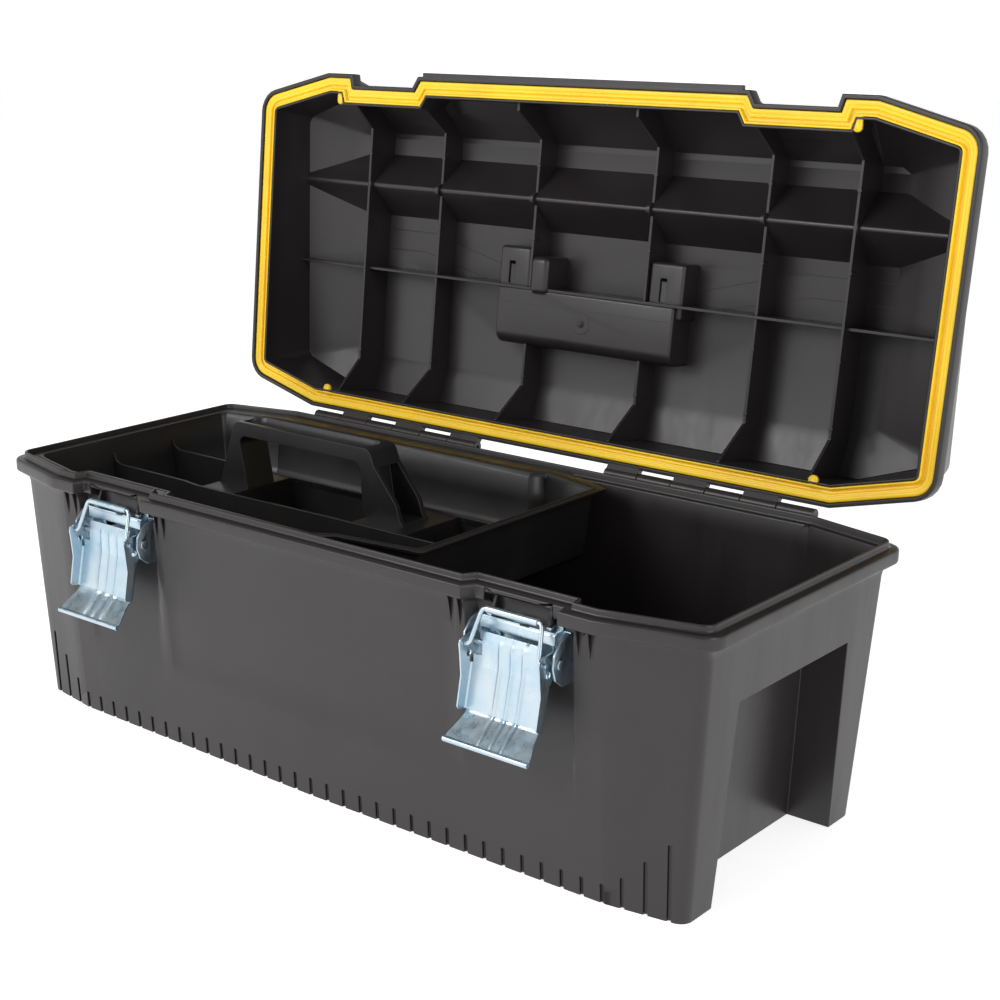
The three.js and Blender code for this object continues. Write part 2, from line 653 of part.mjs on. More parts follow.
// A wire bail: two turned-out ends, two legs and the sleeved bar that hooks over the lid's rim.
function latchBail() {
  const { radius, topY, topZ, topHalf, legHalf, end } = BAIL;
  const section = new THREE.Shape().absarc(0, 0, radius, 0, 2 * Math.PI);
  const foot = (x) => new THREE.Vector3(x, LEVER.wireY, LEVER.wireZ);
  const top = (x) => new THREE.Vector3(x, topY, topZ);
  const path = new THREE.CurvePath();
  const corners = [foot(-end), foot(-legHalf), top(-topHalf), top(topHalf), foot(legHalf), foot(end)];
  let from = corners[0];
  for (let i = 1; i < corners.length - 1; i++) {
    const bend = 3.2;
    const before = corners[i].clone().add(from.clone().sub(corners[i]).setLength(bend));
    const after = corners[i].clone().add(corners[i + 1].clone().sub(corners[i]).setLength(bend));
    path.add(new THREE.LineCurve3(from, before));
    path.add(new THREE.QuadraticBezierCurve3(before, corners[i], after));
    from = after;
  }
  path.add(new THREE.LineCurve3(from, corners.at(-1)));
  const geometry = new THREE.ExtrudeGeometry(section, { steps: 60, curveSegments: 6, extrudePath: path });
  const sleeve = rodX(3.4 - topHalf, topHalf - 3.4, topY, topZ, BAIL.sleeve);
  return join(toSolid(geometry), sleeve);
}

const latchPin = () => {
  const { pivotY, pivotZ } = LEVER;
  const head = 3.6;
  const reach = BRACKET.half + 0.3;
  return join(
    rodX(-reach - 1.4, reach + 1.4, pivotY, pivotZ, 2, 20),
    rodX(-reach - 1.4, -reach, pivotY, pivotZ, head, 20),
    rodX(reach, reach + 1.4, pivotY, pivotZ, head, 20),
  );
};

// One of the two rivets that hold a bracket to the tub wall.
function latchRivet(x) {
  const front = BRACKET.back - BRACKET.sheet;
  const tail = -RECESS_Y + TONGUE.thick + WALL.thick + 0.9;
  return join(
    rodY(front - 1.8, tail + 1.6, x, RIVET.z, RIVET.shank),
    rodY(front - 1.8, front - 0.3, x, RIVET.z, RIVET.head),
    rodY(tail, tail + 1.6, x, RIVET.z, RIVET.head),
  );
}

// ---------------------------------------------------------------- assembly
const black = plastic(0x1c1b1c, 0.52);
const trayBlack = plastic(0x1a191a, 0.5);
const yellow = plastic(0xf2c315, 0.45);
const rubber = plastic(0x232323, 0.8);
const zinc = metal(0xb8c4cb, 0.3);
const steel = metal(0x9aa3a8, 0.35);

const toolbox = new THREE.Group();
toolbox.add(piece("base_shell", baseShell(), black));
toolbox.add(piece("tray", tray(), trayBlack));

const lid = new THREE.Group();
lid.add(
  piece("lid_shell", lidShell(), black),
  piece("lid_seal", lidSeal(), yellow),
  piece("carry_handle", carryHandle(), black),
  piece("handle_grip", gripSleeve(0), rubber),
  piece("handle_pin_left", handlePin(-1), steel),
  piece("handle_pin_right", handlePin(1), steel),
);
const turn = THREE.MathUtils.degToRad(-HINGE.open);
lid.rotation.x = turn;
lid.position.set(
  0,
  HINGE.y - HINGE.y * Math.cos(turn) + HINGE.z * Math.sin(turn),
  HINGE.z - HINGE.y * Math.sin(turn) - HINGE.z * Math.cos(turn),
);
toolbox.add(lid);

for (const [name, side] of [["left", -1], ["right", 1]]) {
  const ends = [barrels(0, side)[0], barrels(1, side).at(-1)].flat();
  const pin = rodX(Math.min(...ends), Math.max(...ends), HINGE.y, HINGE.z, HINGE.pin, 20);
  toolbox.add(piece(`hinge_pin_${name}`, pin, steel));

  const latch = new THREE.Group();
  latch.position.x = side * LATCH_X;
  latch.add(
    piece(`latch_bracket_${name}`, latchBracket(), zinc),
    piece(`latch_rivet_${name}_a`, latchRivet(RIVET.x[0]), zinc),
    piece(`latch_rivet_${name}_b`, latchRivet(RIVET.x[1]), zinc),
    piece(`latch_pin_${name}`, latchPin(), steel),
    piece(`latch_lever_${name}`, latchLever(), zinc),
    piece(`latch_bail_${name}`, latchBail(), zinc),
  );
  toolbox.add(latch);
}

export default toolbox;
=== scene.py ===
import json
import math

import bmesh
import bpy
from mathutils import Matrix, Vector


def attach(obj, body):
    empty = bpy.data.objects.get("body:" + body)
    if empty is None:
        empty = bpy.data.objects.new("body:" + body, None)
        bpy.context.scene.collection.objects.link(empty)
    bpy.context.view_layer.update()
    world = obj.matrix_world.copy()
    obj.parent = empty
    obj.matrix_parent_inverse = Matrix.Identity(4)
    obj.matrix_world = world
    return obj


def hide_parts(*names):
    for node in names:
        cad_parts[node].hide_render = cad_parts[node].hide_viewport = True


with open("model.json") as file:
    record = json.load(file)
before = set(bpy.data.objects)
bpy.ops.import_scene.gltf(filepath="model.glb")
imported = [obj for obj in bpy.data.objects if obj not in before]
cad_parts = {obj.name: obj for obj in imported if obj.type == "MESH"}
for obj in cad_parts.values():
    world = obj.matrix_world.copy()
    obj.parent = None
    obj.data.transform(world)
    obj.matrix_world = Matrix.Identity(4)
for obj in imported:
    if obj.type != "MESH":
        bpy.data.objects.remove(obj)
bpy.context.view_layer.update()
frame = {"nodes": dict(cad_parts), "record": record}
NODES = frame["nodes"]

# ------------------------------------------------------------ driving dimensions, in millimetres
MM = 0.001
HALF_LENGTH = 345.4
HALF_DEPTH = 141.4
CORNER_Y = 122.8
CHAMFER_X = 271.5
CORNER_RADIUS = 10
RECESS = (159.7, 165.6, 248.9, 251.4)
RECESS_Y = 131.8
LATCH_X = 206
TONGUE_THICK = 2.4
WALL_TOP = 196
WALL_THICK = 4
WALL_FLOOR = 4.5
RECESS_FADE = 22
FOOT = {"half_length": 333, "corner_y": 115, "chamfer_x": 275, "chamfer_y": 124.5, "centre_y": 129}
ARCH = {"top": 151.5, "top_y": 74, "foot_y": 82, "top_x": 306, "foot_x": 298}
GROOVE = {"pitch": 17, "half": 1.5, "depth": 2.2, "top": 15, "count": 17}
RISERS = ((287, 24), (304, 41), (321, 58))
NOTCH_X = (177.3, 234.7)
HINGE = Vector((0, 159.4, 212.9))
KNUCKLE = {"first": 68.5, "pitch": 32.5, "gap": 0.5, "count": 6, "radius": 5}
LID_OPEN = 95.76

# ------------------------------------------------------------ materials


def shader(name, color, roughness, metallic=0.0):
    """A material, its node tree and its shader node, with what is the same all over set on the shader."""
    material = bpy.data.materials.new(name)
    material.use_nodes = True
    tree = material.node_tree
    bsdf = tree.nodes["Principled BSDF"]
    bsdf.inputs["Base Color"].default_value = (*color, 1)
    bsdf.inputs["Roughness"].default_value = roughness
    bsdf.inputs["Metallic"].default_value = metallic
    return material, tree, bsdf


def add(tree, kind, **settings):
    node = tree.nodes.new(kind)
    for key, value in settings.items():
        if hasattr(node, key):
            setattr(node, key, value)
        else:
            node.inputs[key].default_value = value
    return node


def noise(tree, where, scale, detail=4.0, rough=0.5, stretch=(1, 1, 1)):
    """Noise over the object's own coordinates, in cycles per metre."""
    texture = add(tree, "ShaderNodeTexNoise", Scale=scale, Detail=detail, Roughness=rough)
    if stretch != (1, 1, 1):
        mapping = add(tree, "ShaderNodeMapping", Scale=stretch)
        tree.links.new(where, mapping.inputs["Vector"])
        where = mapping.outputs["Vector"]
    tree.links.new(where, texture.inputs["Vector"])
    return texture.outputs["Fac"]


def ramp(tree, value, low, high, out_low, out_high):
    """value between low and high, carried over to out_low and out_high."""
    node = add(tree, "ShaderNodeMapRange")
    tree.links.new(value, node.inputs["Value"])
    for key, number in zip(("From Min", "From Max", "To Min", "To Max"), (low, high, out_low, out_high)):
        node.inputs[key].default_value = number
    return node.outputs["Result"]


def blend_colors(tree, factor, first, second):
    """From the first colour to the second; either may be a colour or another node's output."""
    mix = add(tree, "ShaderNodeMix", data_type="RGBA")
    tree.links.new(factor, mix.inputs[0])
    for socket, color in ((6, first), (7, second)):
        if isinstance(color, tuple):
            mix.inputs[socket].default_value = (*color, 1)
        else:
            tree.links.new(color, mix.inputs[socket])
    return mix.outputs[2]


def scaled(color, *factors):
    """The colour with each channel scaled; one factor stands for all three."""
    factors = factors * 3 if len(factors) == 1 else factors
    return tuple(min(1, c * f) for c, f in zip(color, factors))


def moulded_plastic(name, color, roughness, specks=0.5, grain=1500.0, depth=0.00005, scuff=0.5):
    """Moulded plastic: cloudy flow marks, pale specks and hairline scuffs, over a fine mould grain."""
    material, tree, bsdf = shader(name, color, roughness)
    where = add(tree, "ShaderNodeTexCoord").outputs["Object"]
    cloud = noise(tree, where, 7, 5, 0.62)
    streak = noise(tree, where, 26, 6, 0.7, (1, 1, 0.16))
    base = blend_colors(tree, ramp(tree, cloud, 0.35, 0.68, 0, 1), scaled(color, 0.9), scaled(color, 1.14))
    base = blend_colors(tree, ramp(tree, streak, 0.62, 0.8, 0, 0.4 * scuff), base, scaled(color, 1.7))
    speck = noise(tree, where, 520, 2, 0.5)
    base = blend_colors(tree, ramp(tree, speck, 0.70, 0.80, 0, specks), base, scaled(color, 3.2, 3.0, 2.9))
    hair = noise(tree, where, 90, 8, 0.8, (0.25, 1, 1.3))
    base = blend_colors(tree, ramp(tree, hair, 0.70, 0.78, 0, 0.35 * scuff), base, scaled(color, 2.4))
    tree.links.new(base, bsdf.inputs["Base Color"])
    tree.links.new(ramp(tree, streak, 0.3, 0.75, roughness - 0.06, roughness + 0.1), bsdf.inputs["Roughness"])
    bump = add(tree, "ShaderNodeBump", Strength=0.35, Distance=depth)
    tree.links.new(noise(tree, where, grain, 3, 0.6), bump.inputs["Height"])
    tree.links.new(bump.outputs["Normal"], bsdf.inputs["Normal"])
    return material


def zinc_plate(name, color, roughness):
    """Blue-white zinc plating over pressed steel: passivation clouds, rolling lines and small stains."""
    material, tree, bsdf = shader(name, color, roughness, metallic=1.0)
    where = add(tree, "ShaderNodeTexCoord").outputs["Object"]
    cloud = noise(tree, where, 38, 5, 0.6)
    lines = noise(tree, where, 170, 4, 0.7, (1, 1, 0.06))
    cool, warm = scaled(color, 0.84, 0.95, 1.0), scaled(color, 1.1, 1.06, 1.02)
    base = blend_colors(tree, ramp(tree, cloud, 0.35, 0.7, 0, 1), cool, warm)
    iris = noise(tree, where, 21, 3, 0.5)
    base = blend_colors(tree, ramp(tree, iris, 0.6, 0.78, 0, 0.5), base, scaled(color, 1.16, 1.06, 0.86))
    stain = noise(tree, where, 260, 5, 0.7)
    base = blend_colors(tree, ramp(tree, stain, 0.68, 0.8, 0, 0.6), base, scaled(color, 0.6))
    tree.links.new(base, bsdf.inputs["Base Color"])
    tree.links.new(ramp(tree, lines, 0.3, 0.7, roughness - 0.06, roughness + 0.1), bsdf.inputs["Roughness"])
    bump = add(tree, "ShaderNodeBump", Strength=0.25, Distance=0.00004)
    tree.links.new(lines, bump.inputs["Height"])
    tree.links.new(bump.outputs["Normal"], bsdf.inputs["Normal"])
    return material


MATERIALS = {
    "black_foam": moulded_plastic("structural_foam", (0.0168, 0.0138, 0.0148), 0.35),
    # The tray's own black plastic, set darker than the tub's as painted shade for the inside of the tub.
    "tray_plastic": moulded_plastic("tray_polypropylene_painted_shade", (0.009, 0.0082, 0.0086), 0.38, specks=0.25),
    "yellow_seal": moulded_plastic("seal_rubber", (0.96, 0.6, 0.018), 0.34, specks=0.0, scuff=0.15),
    "soft_grip": moulded_plastic("grip_rubber", (0.03, 0.029, 0.029), 0.7, 0.2, 900, 0.0001),
    "zinc_plate": zinc_plate("zinc_sheet", (0.50, 0.585, 0.65), 0.3),
    "pin_steel": zinc_plate("steel_pin", (0.42, 0.46, 0.49), 0.32),
}
SLOTS = {s["node"]: s["material_slot"] for s in frame["record"]["subparts"]}
BODIES = frame["record"]["behaviour"]["bodies"]


def body_of(node):
    return next(body for body, members in BODIES.items() if node in members)


# ------------------------------------------------------------ meshes


def closed_to_open(bm):
    """The lid is drawn shut; this turns it back about the hinge line to where it rests open."""
    hinge = Matrix.Translation(HINGE * MM)
    swing = Matrix.Rotation(math.radians(-LID_OPEN), 4, "X")
    bmesh.ops.transform(bm, verts=bm.verts, matrix=hinge @ swing @ hinge.inverted())


def to_object(bm, name, slot):
    mesh = bpy.data.meshes.new(name)
    bm.to_mesh(mesh)
    bm.free()
    mesh.materials.append(MATERIALS[slot])
    piece = bpy.data.objects.new(name, mesh)
    bpy.context.scene.collection.objects.link(piece)
    return piece


def finish_piece(piece, node, width=0.0006, segments=2, angle=33, extra=()):
    """Rounded edges and shading, then the piece takes the CAD node's place on its body."""
    for polygon in piece.data.polygons:
        polygon.use_smooth = True
    if width:
        bevel = piece.modifiers.new("rounded_edges", "BEVEL")
        bevel.width = width
        bevel.segments = segments
        bevel.limit_method = "ANGLE"
        bevel.angle_limit = math.radians(angle)
        bevel.use_clamp_overlap = False
        bevel.harden_normals = True
        bevel.miter_outer = "MITER_ARC"
    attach(piece, body_of(node))
    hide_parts(node, *extra)
    return piece


def cad_copy(node):
    """The node's own shape, with its triangles joined up where they lie in one plane."""
    bm = bmesh.new()
    bm.from_mesh(NODES[node].data)
    bmesh.ops.remove_doubles(bm, verts=bm.verts, dist=2e-5)
    bmesh.ops.dissolve_limit(bm, angle_limit=math.radians(0.08), verts=bm.verts, edges=bm.edges)
    return to_object(bm, node + "_piece", SLOTS[node])


def combine(tool, piece, operation):
    """The piece cut by, joined to or kept inside the tool, which is used up."""
    change = piece.modifiers.new("cut", "BOOLEAN")
    change.object = tool
    change.operation = operation
    change.solver = "EXACT"
    bpy.context.view_layer.update()
    graph = bpy.context.evaluated_depsgraph_get()
    made = bpy.data.meshes.new_from_object(piece.evaluated_get(graph))
    piece.modifiers.remove(change)
    piece.data = made
    mesh = tool.data
    bpy.data.objects.remove(tool)
    bpy.data.meshes.remove(mesh)
    return piece


class Skin:
    """Quads through rings of points that all have the same count, which patches can be sunk into."""

    def __init__(self, rings):
        self.bm = bmesh.new()
        rows = [[self.bm.verts.new(Vector(point) * MM) for point in ring] for ring in rings]
        self.cells = {}
        for r, (low, high) in enumerate(zip(rows, rows[1:])):
            for i in range(len(low)):
                j = (i + 1) % len(low)
                self.cells[r, i] = self.bm.faces.new((low[i], low[j], high[j], high[i]))

    def sink(self, keys, shift, floor=None):
        """Move the cells to where shift takes them, with walls round them except along the floor's height."""
        faces = [self.cells.pop(key) for key in keys]
        chosen = set(faces)
        corners = {vert for face in faces for vert in face.verts}
        moved = {vert: self.bm.verts.new(shift(vert.co / MM) * MM) for vert in corners}
        walls = []
        for face in faces:
            for loop in face.loops:
                a, b = loop.vert, loop.link_loop_next.vert
                inner = any(other in chosen for other in loop.edge.link_faces if other is not face)
                at_floor = floor is not None and all(abs(v.co.z / MM - floor) < 0.01 for v in (a, b))
                if not inner and not at_floor:
                    walls.append((a, b, moved[b], moved[a]))
        for face in faces:
            self.bm.faces.new([moved[vert] for vert in face.verts])
        for wall in walls:
            self.bm.faces.new(wall)
        bmesh.ops.delete(self.bm, geom=faces, context="FACES")

    def close(self):
        open_edges = [edge for edge in self.bm.edges if edge.is_boundary]
        bmesh.ops.holes_fill(self.bm, edges=open_edges, sides=0)
        bmesh.ops.recalc_face_normals(self.bm, faces=self.bm.faces)
        return self.bm


def prism(bm, outline, axis, low, high):
    """An outline of two coordinates drawn out along the axis, added to the mesh."""
    def place(pair, along):
        spot = list(pair)
        spot.insert("XYZ".index(axis), along)
        return bm.verts.new(Vector(spot) * MM)
    first = [place(pair, low) for pair in outline]
    second = [place(pair, high) for pair in outline]
    faces = [bm.faces.new(first), bm.faces.new(second)]
    for i in range(len(first)):
        j = (i + 1) % len(first)
        faces.append(bm.faces.new((first[i], first[j], second[j], second[i])))
    bmesh.ops.recalc_face_normals(bm, faces=faces)
    return faces


def block(bm, x, y, z):
    return prism(bm, [(x[0], y[0]), (x[1], y[0]), (x[1], y[1]), (x[0], y[1])], "Z", *z)


def box_tool(x, y, z):
    bm = bmesh.new()
    block(bm, x, y, z)
    return to_object(bm, "box_tool", "black_foam")


def either_side(side, low, high):
    """The same span of X on the left (-1) or the right (1)."""
    return tuple(sorted((side * low, side * high)))


def circle(centre, radius, sides=32, start=0.0, sweep=2 * math.pi, closed=True):
    steps = sides if closed else sides - 1
    angles = (start + sweep * i / steps for i in range(sides))
    return [(centre[0] + radius * math.cos(a), centre[1] + radius * math.sin(a)) for a in angles]


# ------------------------------------------------------------ outlines


def arc_corner(before, corner, after, radius, steps=8):
    """The corner replaced by an arc that touches both of its sides."""
    corner = Vector(corner)
    u = (Vector(before) - corner).normalized()
    v = (Vector(after) - corner).normalized()
    half = math.acos(max(-1, min(1, u.dot(v)))) / 2
    centre = corner + (u + v).normalized() * radius / math.sin(half)
    start = corner + u * radius / math.tan(half) - centre
    end = corner + v * radius / math.tan(half) - centre
    turn = math.atan2(start.x * end.y - start.y * end.x, start.dot(end))
    spokes = (Matrix.Rotation(turn * i / steps, 2) @ start for i in range(steps + 1))
    return [tuple(centre + spoke) for spoke in spokes]


def grown(outline, d):
    """The outline moved outwards by d, square to its sides."""
    result = []
    count = len(outline)
    for i, (x, y) in enumerate(outline):
        px, py = outline[i - 1]
        nx, ny = outline[(i + 1) % count]
        before = Vector((y - py, px - x)).normalized()
        after = Vector((ny - y, x - nx)).normalized()
        mitre = before + after
        reach = 2 * d / mitre.length_squared
        result.append((x + mitre.x * reach, y + mitre.y * reach))
    return result


def level(outline, z):
    return [(x, y, z) for x, y in outline]


def mix(low, high, t):
    return low + (high - low) * t


def mirrored(half):
    return half + [(-x, y) for x, y in reversed(half)]


GROOVES = [i * GROOVE["pitch"] for i in range(1, GROOVE["count"] - 1)]
RISER_X = [x + s * GROOVE["half"] for x, _ in RISERS for s in (-1, 1)]
BACK_X = sorted([x + s * GROOVE["half"] for x in [0.0, *GROOVES] for s in (-1, 1)][1:], reverse=True)
# Where two groove columns would meet the mitres of the latch recess, they stand aside on the rim and inside.
ASIDE = {168.5: 173.0, 171.5: 176.0, 253.5: 259.0, 256.5: 262.0}
PANEL_X = 150.9
NEAR_CHAMFER = (3.5, 0.5)
SIDE_Y = 37


def front_columns(aside):
    columns = [GROOVE["half"], *[x + s * GROOVE["half"] for x in GROOVES for s in (-1, 1)], PANEL_X, *RECESS]
    columns += [NOTCH_X[0] - 0.3, NOTCH_X[0] + 0.3, NOTCH_X[1] - 0.3, NOTCH_X[1] + 0.3]
    return sorted(ASIDE.get(x, x) if aside else x for x in columns)


def tub_plan(front_y, chamfer_x, corner_x, corner_y, back_y, arch_y, aside):
    """The tub's plan, with a column for every edge that a wall, groove, arch or notch needs."""
    foot_front = (chamfer_x, front_y(chamfer_x))
    foot_back = (chamfer_x, back_y)
    corners = ((corner_x, -corner_y), (corner_x, corner_y))
    arc_front = arc_corner(foot_front, *corners, CORNER_RADIUS)
    arc_back = arc_corner(*corners, foot_back, CORNER_RADIUS)

    def along(a, b, x):
        return (x, mix(a[1], b[1], (x - a[0]) / (b[0] - a[0])))

    half = [(x, front_y(x)) for x in front_columns(aside)]
    half += [(chamfer_x - d, front_y(chamfer_x - d)) for d in NEAR_CHAMFER]
    half += [foot_front]
    half += [along(foot_front, arc_front[0], x) for x in RISER_X]
    half += arc_front
    half += [(corner_x, y) for y in (-arch_y, -SIDE_Y, 0, SIDE_Y, arch_y)]
    half += arc_back
    half += [along(foot_back, arc_back[-1], x) for x in reversed(RISER_X)]
    half += [foot_back]
    half += [(chamfer_x - d, back_y) for d in reversed(NEAR_CHAMFER)]
    half += [(x, back_y) for x in BACK_X]
    return mirrored(half)


def wall_ring(z, inset=0.0, aside=False, arch_margin=0.0):
    """The tub wall at height z, moved in by inset, where it drafts in and the latch recesses fade out."""
    up = z / WALL_TOP
    deep = max(0.0, (z - RECESS_FADE) / (WALL_TOP - RECESS_FADE))

    def front_y(x):
        foot = mix(FOOT["centre_y"], FOOT["chamfer_y"], min(1, x / FOOT["chamfer_x"]))
        plain = mix(foot, HALF_DEPTH - TONGUE_THICK, up)
        sunk = mix(plain, RECESS_Y - TONGUE_THICK, deep)
        rising = max(0.0, min(1.0, (x - RECESS[0]) / (RECESS[1] - RECESS[0])))
        falling = max(0.0, min(1.0, (RECESS[3] - x) / (RECESS[3] - RECESS[2])))
        return -mix(plain, sunk, min(rising, falling))

    arch_y = mix(ARCH["foot_y"], ARCH["top_y"], min(1, z / ARCH["top"])) + arch_margin
    outline = tub_plan(
        front_y,
        mix(FOOT["chamfer_x"] - 1, CHAMFER_X, up),
        mix(FOOT["half_length"], HALF_LENGTH - TONGUE_THICK, up),
        mix(FOOT["corner_y"], CORNER_Y - TONGUE_THICK, up),
        mix(FOOT["chamfer_y"], HALF_DEPTH - TONGUE_THICK, up),
        arch_y,
        aside,
    )
    return level(grown(outline, -inset) if inset else outline, z)


def rim_front(x):
    rising = max(0.0, min(1.0, (x - RECESS[0]) / (RECESS[1] - RECESS[0])))
    falling = max(0.0, min(1.0, (RECESS[3] - x) / (RECESS[3] - RECESS[2])))
    return -mix(HALF_DEPTH, RECESS_Y, min(rising, falling))


RIM_PLAN = tub_plan(rim_front, CHAMFER_X, HALF_LENGTH, CORNER_Y, HALF_DEPTH, ARCH["top_y"], True)


def in_notch(x, y):
    return y < 0 and NOTCH_X[0] < abs(x) < NOTCH_X[1]


# ------------------------------------------------------------ tub


def column_of(x, back=False):
    """The place of the column at x in the right half of the outer wall's plan."""
    if not back:
        return front_columns(False).index(x)
    lead = len(front_columns(False)) + 2 * len(NEAR_CHAMFER) + 2 + 2 * len(RISER_X) + 18 + 5
    return lead + BACK_X.index(x)


def arch_cells(rows, arch_start, count):
    """The cells of both end walls that an arch opens, over the given rows."""
    columns = range(arch_start, arch_start + 4)
    return [
        [(row, column) for row in rows for column in columns],
        [(row, count - 2 - column) for row in rows for column in columns],
    ]


OUTER_LEVELS = (0, 7.5, 15, 22, 24, 41, 58, 72, 72.6, 95, 120, 151.5, 170, 185, 193)
PANEL_DEPTH = 0.2


def panelled(ring):
    """The front wall's wide middle panel stands back a little, with its lower edge 72 mm up."""
    def place(x, y, z):
        inside = y < 0 and z > 72.3 and abs(x) <= PANEL_X
        return (x, y + PANEL_DEPTH, z) if inside else (x, y, z)
    return [place(*point) for point in ring]


def rim_profile():
    """How far out and how high each ring of the rim is, from the outer wall over to the inner wall."""
    flange = [(-2.2, 197.5), (-1.2, 199.8), (1.0, 201.2), (5.4, 202.2), (6.6, 202.7), (7.3, 203.7)]
    flange += [(7.4, 205), (7.4, 210.6), (7.2, 212), (6.6, 212.8), (5.4, 213.1), (2.6, 213.1)]
    flange += [(1.0, 213.3), (0.2, 214.2)]
    tongue = [(0, 215), (0, 217.2), (-0.3, 217.9), (-0.8, 218.3), (-1.2, 218.4), (-1.6, 218.3)]
    tongue += [(-2.1, 217.9)]
    ledge = [(-2.4, 217.2), (-2.4, 213.2), (-2.7, 212.4), (-3.3, 212.05), (-5.2, 212), (-6.0, 211.7)]
    ledge += [(-6.4, 210.8)]
    return flange, tongue + ledge


def base_shell():
    flange, inwards = rim_profile()
    rings = [panelled(wall_ring(z)) for z in OUTER_LEVELS]
    for out, z in flange:
        def lifted(x, y):
            low = 196.5 <= z <= 206
            return 206.3 + (z - 197.5) * 0.45 if low and in_notch(x, y) else z
        rings.append([(x, y, lifted(x, y)) for x, y in grown(RIM_PLAN, out)])
    rings += [level(grown(RIM_PLAN, out), z) for out, z in inwards]
    margin = WALL_THICK
    inner_levels = (194, 175, ARCH["top"] + margin, 120, 80, 50, 26, WALL_FLOOR)
    first_inner = len(rings)
    rings += [wall_ring(z, WALL_THICK, True, margin) for z in inner_levels]
    skin = Skin(rings)
    count = len(rings[0])

    arch_start = len(front_columns(False)) + len(NEAR_CHAMFER) + 1 + len(RISER_X) + 9

    def back_plane(inset):
        def shift(point):
            x = mix(ARCH["foot_x"], ARCH["top_x"], point.z / ARCH["top"]) - inset
            return Vector((math.copysign(x, point.x), point.y, point.z))
        return shift

    outer_rows = range(OUTER_LEVELS.index(ARCH["top"]))
    inner_rows = range(first_inner + 2, len(rings) - 1)
    for cells in arch_cells(outer_rows, arch_start, count):
        skin.sink(cells, back_plane(0), floor=0)
    for cells in arch_cells(inner_rows, arch_start, count):
        skin.sink(cells, back_plane(margin), floor=WALL_FLOOR)

    def inwards_by(sign):
        return lambda point: Vector((point.x, point.y - sign * GROOVE["depth"], point.z))

    def rows_below(top):
        return range(OUTER_LEVELS.index(top))

    low_rows = rows_below(GROOVE["top"])
    for x in GROOVES:
        for back, sign in ((False, -1), (True, 1)):
            column = column_of(x + sign * GROOVE["half"], back)
            for at in (column, count - 2 - column):
                skin.sink([(row, at) for row in low_rows], inwards_by(sign), floor=0)
    skin.sink([(row, count - 1) for row in low_rows], inwards_by(-1), floor=0)
    skin.sink([(row, count // 2 - 1) for row in low_rows], inwards_by(1), floor=0)
    chamfer = len(front_columns(False))
    back_chamfer = column_of(BACK_X[0], True) - 3
    spots = [(chamfer, -1, GROOVE["top"]), (back_chamfer + 1, 1, GROOVE["top"])]
    spots += [(chamfer + 3 + 2 * i, -1, top) for i, (_, top) in enumerate(RISERS)]
    spots += [(back_chamfer - 2 - 2 * i, 1, top) for i, (_, top) in enumerate(RISERS)]
    for column, sign, top in spots:
        for at in (column, count - 2 - column):
            skin.sink([(row, at) for row in rows_below(top)], inwards_by(sign), floor=0)

    piece = to_object(skin.close(), "base_shell_piece", SLOTS["base_shell"])
    combine(pockets(), piece, "DIFFERENCE")
    bm = bmesh.new()
    bm.from_mesh(piece.data)
    gussets(bm)
    for side in (-1, 1):
        for x0, x1 in barrels(1, side):
            knuckle(bm, x0, x1, HALF_DEPTH + 5, 204, LID_FACE_Z - 0.6)
    bm.to_mesh(piece.data)
    bm.free()
    return finish_piece(piece, "base_shell", 0.0006)


def pockets():
    """Narrow wedge pockets in the wall under the flange, two on each side of each latch recess."""
    bm = bmesh.new()
    spots = [(144.8, 150.2), (153.2, 158.4), (253.6, 259.4), (263.2, 269.4)]
    for side in (-1, 1):
        for x0, x1 in spots:
            tip = mix(x0, x1, 0.62 if x0 < LATCH_X else 0.4)
            top, low, y_in, y_out = 201.5, 173.5, -134.9, -147
            corners = [(x0, y_out, top), (x1, y_out, top), (x1, y_in, top), (x0, y_in, top)]
            corners += [(tip - 0.3, y_out, low), (tip + 0.3, y_out, low), (tip, -138.6, low)]
            verts = [bm.verts.new(Vector((side * x, y, z)) * MM) for x, y, z in corners]
            hull = bmesh.ops.convex_hull(bm, input=verts)
            faces = [part for part in hull["geom"] if isinstance(part, bmesh.types.BMFace)]
            bmesh.ops.recalc_face_normals(bm, faces=faces)
    return to_object(bm, "pockets", "black_foam")


def gussets(bm):
    """The pair of small triangular ribs above each latch bracket."""
    y = -RECESS_Y + 2.6
    low, high = WALL_TOP - 1, 209.8
    outline = [(y + 2, low), (y - 6.6, low), (y - 6.9, low + 2.5), (y - 2.2, high), (y + 2, high)]
    for side in (-1, 1):
        for dx in (-23.6, 23.6):
            prism(bm, outline, "X", side * LATCH_X + dx - 1.3, side * LATCH_X + dx + 1.3)


LID_FACE_Z = 213.4


def barrels(owner, side):
    """The hinge barrels of one side: the even places belong to the lid and the odd ones to the tub."""
    for i in range(owner, KNUCKLE["count"], 2):
        x0 = KNUCKLE["first"] + i * KNUCKLE["pitch"] + KNUCKLE["gap"] / 2
        x1 = x0 + KNUCKLE["pitch"] - KNUCKLE["gap"]
        yield (x0, x1) if side > 0 else (-x1, -x0)


def knuckle(bm, x0, x1, root_y, low, high):
    """One hinge barrel with the arm that carries it."""
    prism(bm, circle((HINGE.y, HINGE.z), KNUCKLE["radius"], 40), "X", x0, x1)
    arm = [(root_y, low), (HINGE.y, HINGE.z - 4.6), (HINGE.y + 1, HINGE.z + 0.4), (root_y, high)]
    prism(bm, arm, "X", x0 + 0.4, x1 - 0.4)


# ------------------------------------------------------------ tray
TRAY = {"inset": 12, "rim_inset": 3.2, "rim": 212.3, "rim_top": 214.8, "floor": 157, "wall": 2.6}
TRAY.update(divider=35, divider_top=193, bench_top=192, draft=5)
BEAD = {"out": 2.6, "thick": 2.6, "top": 215.0}
ARCH_HANDLE = {"x0": -200, "x1": -28, "top": 249, "leg_x0": -197, "leg_x1": -40, "half": 16, "foot": 192}


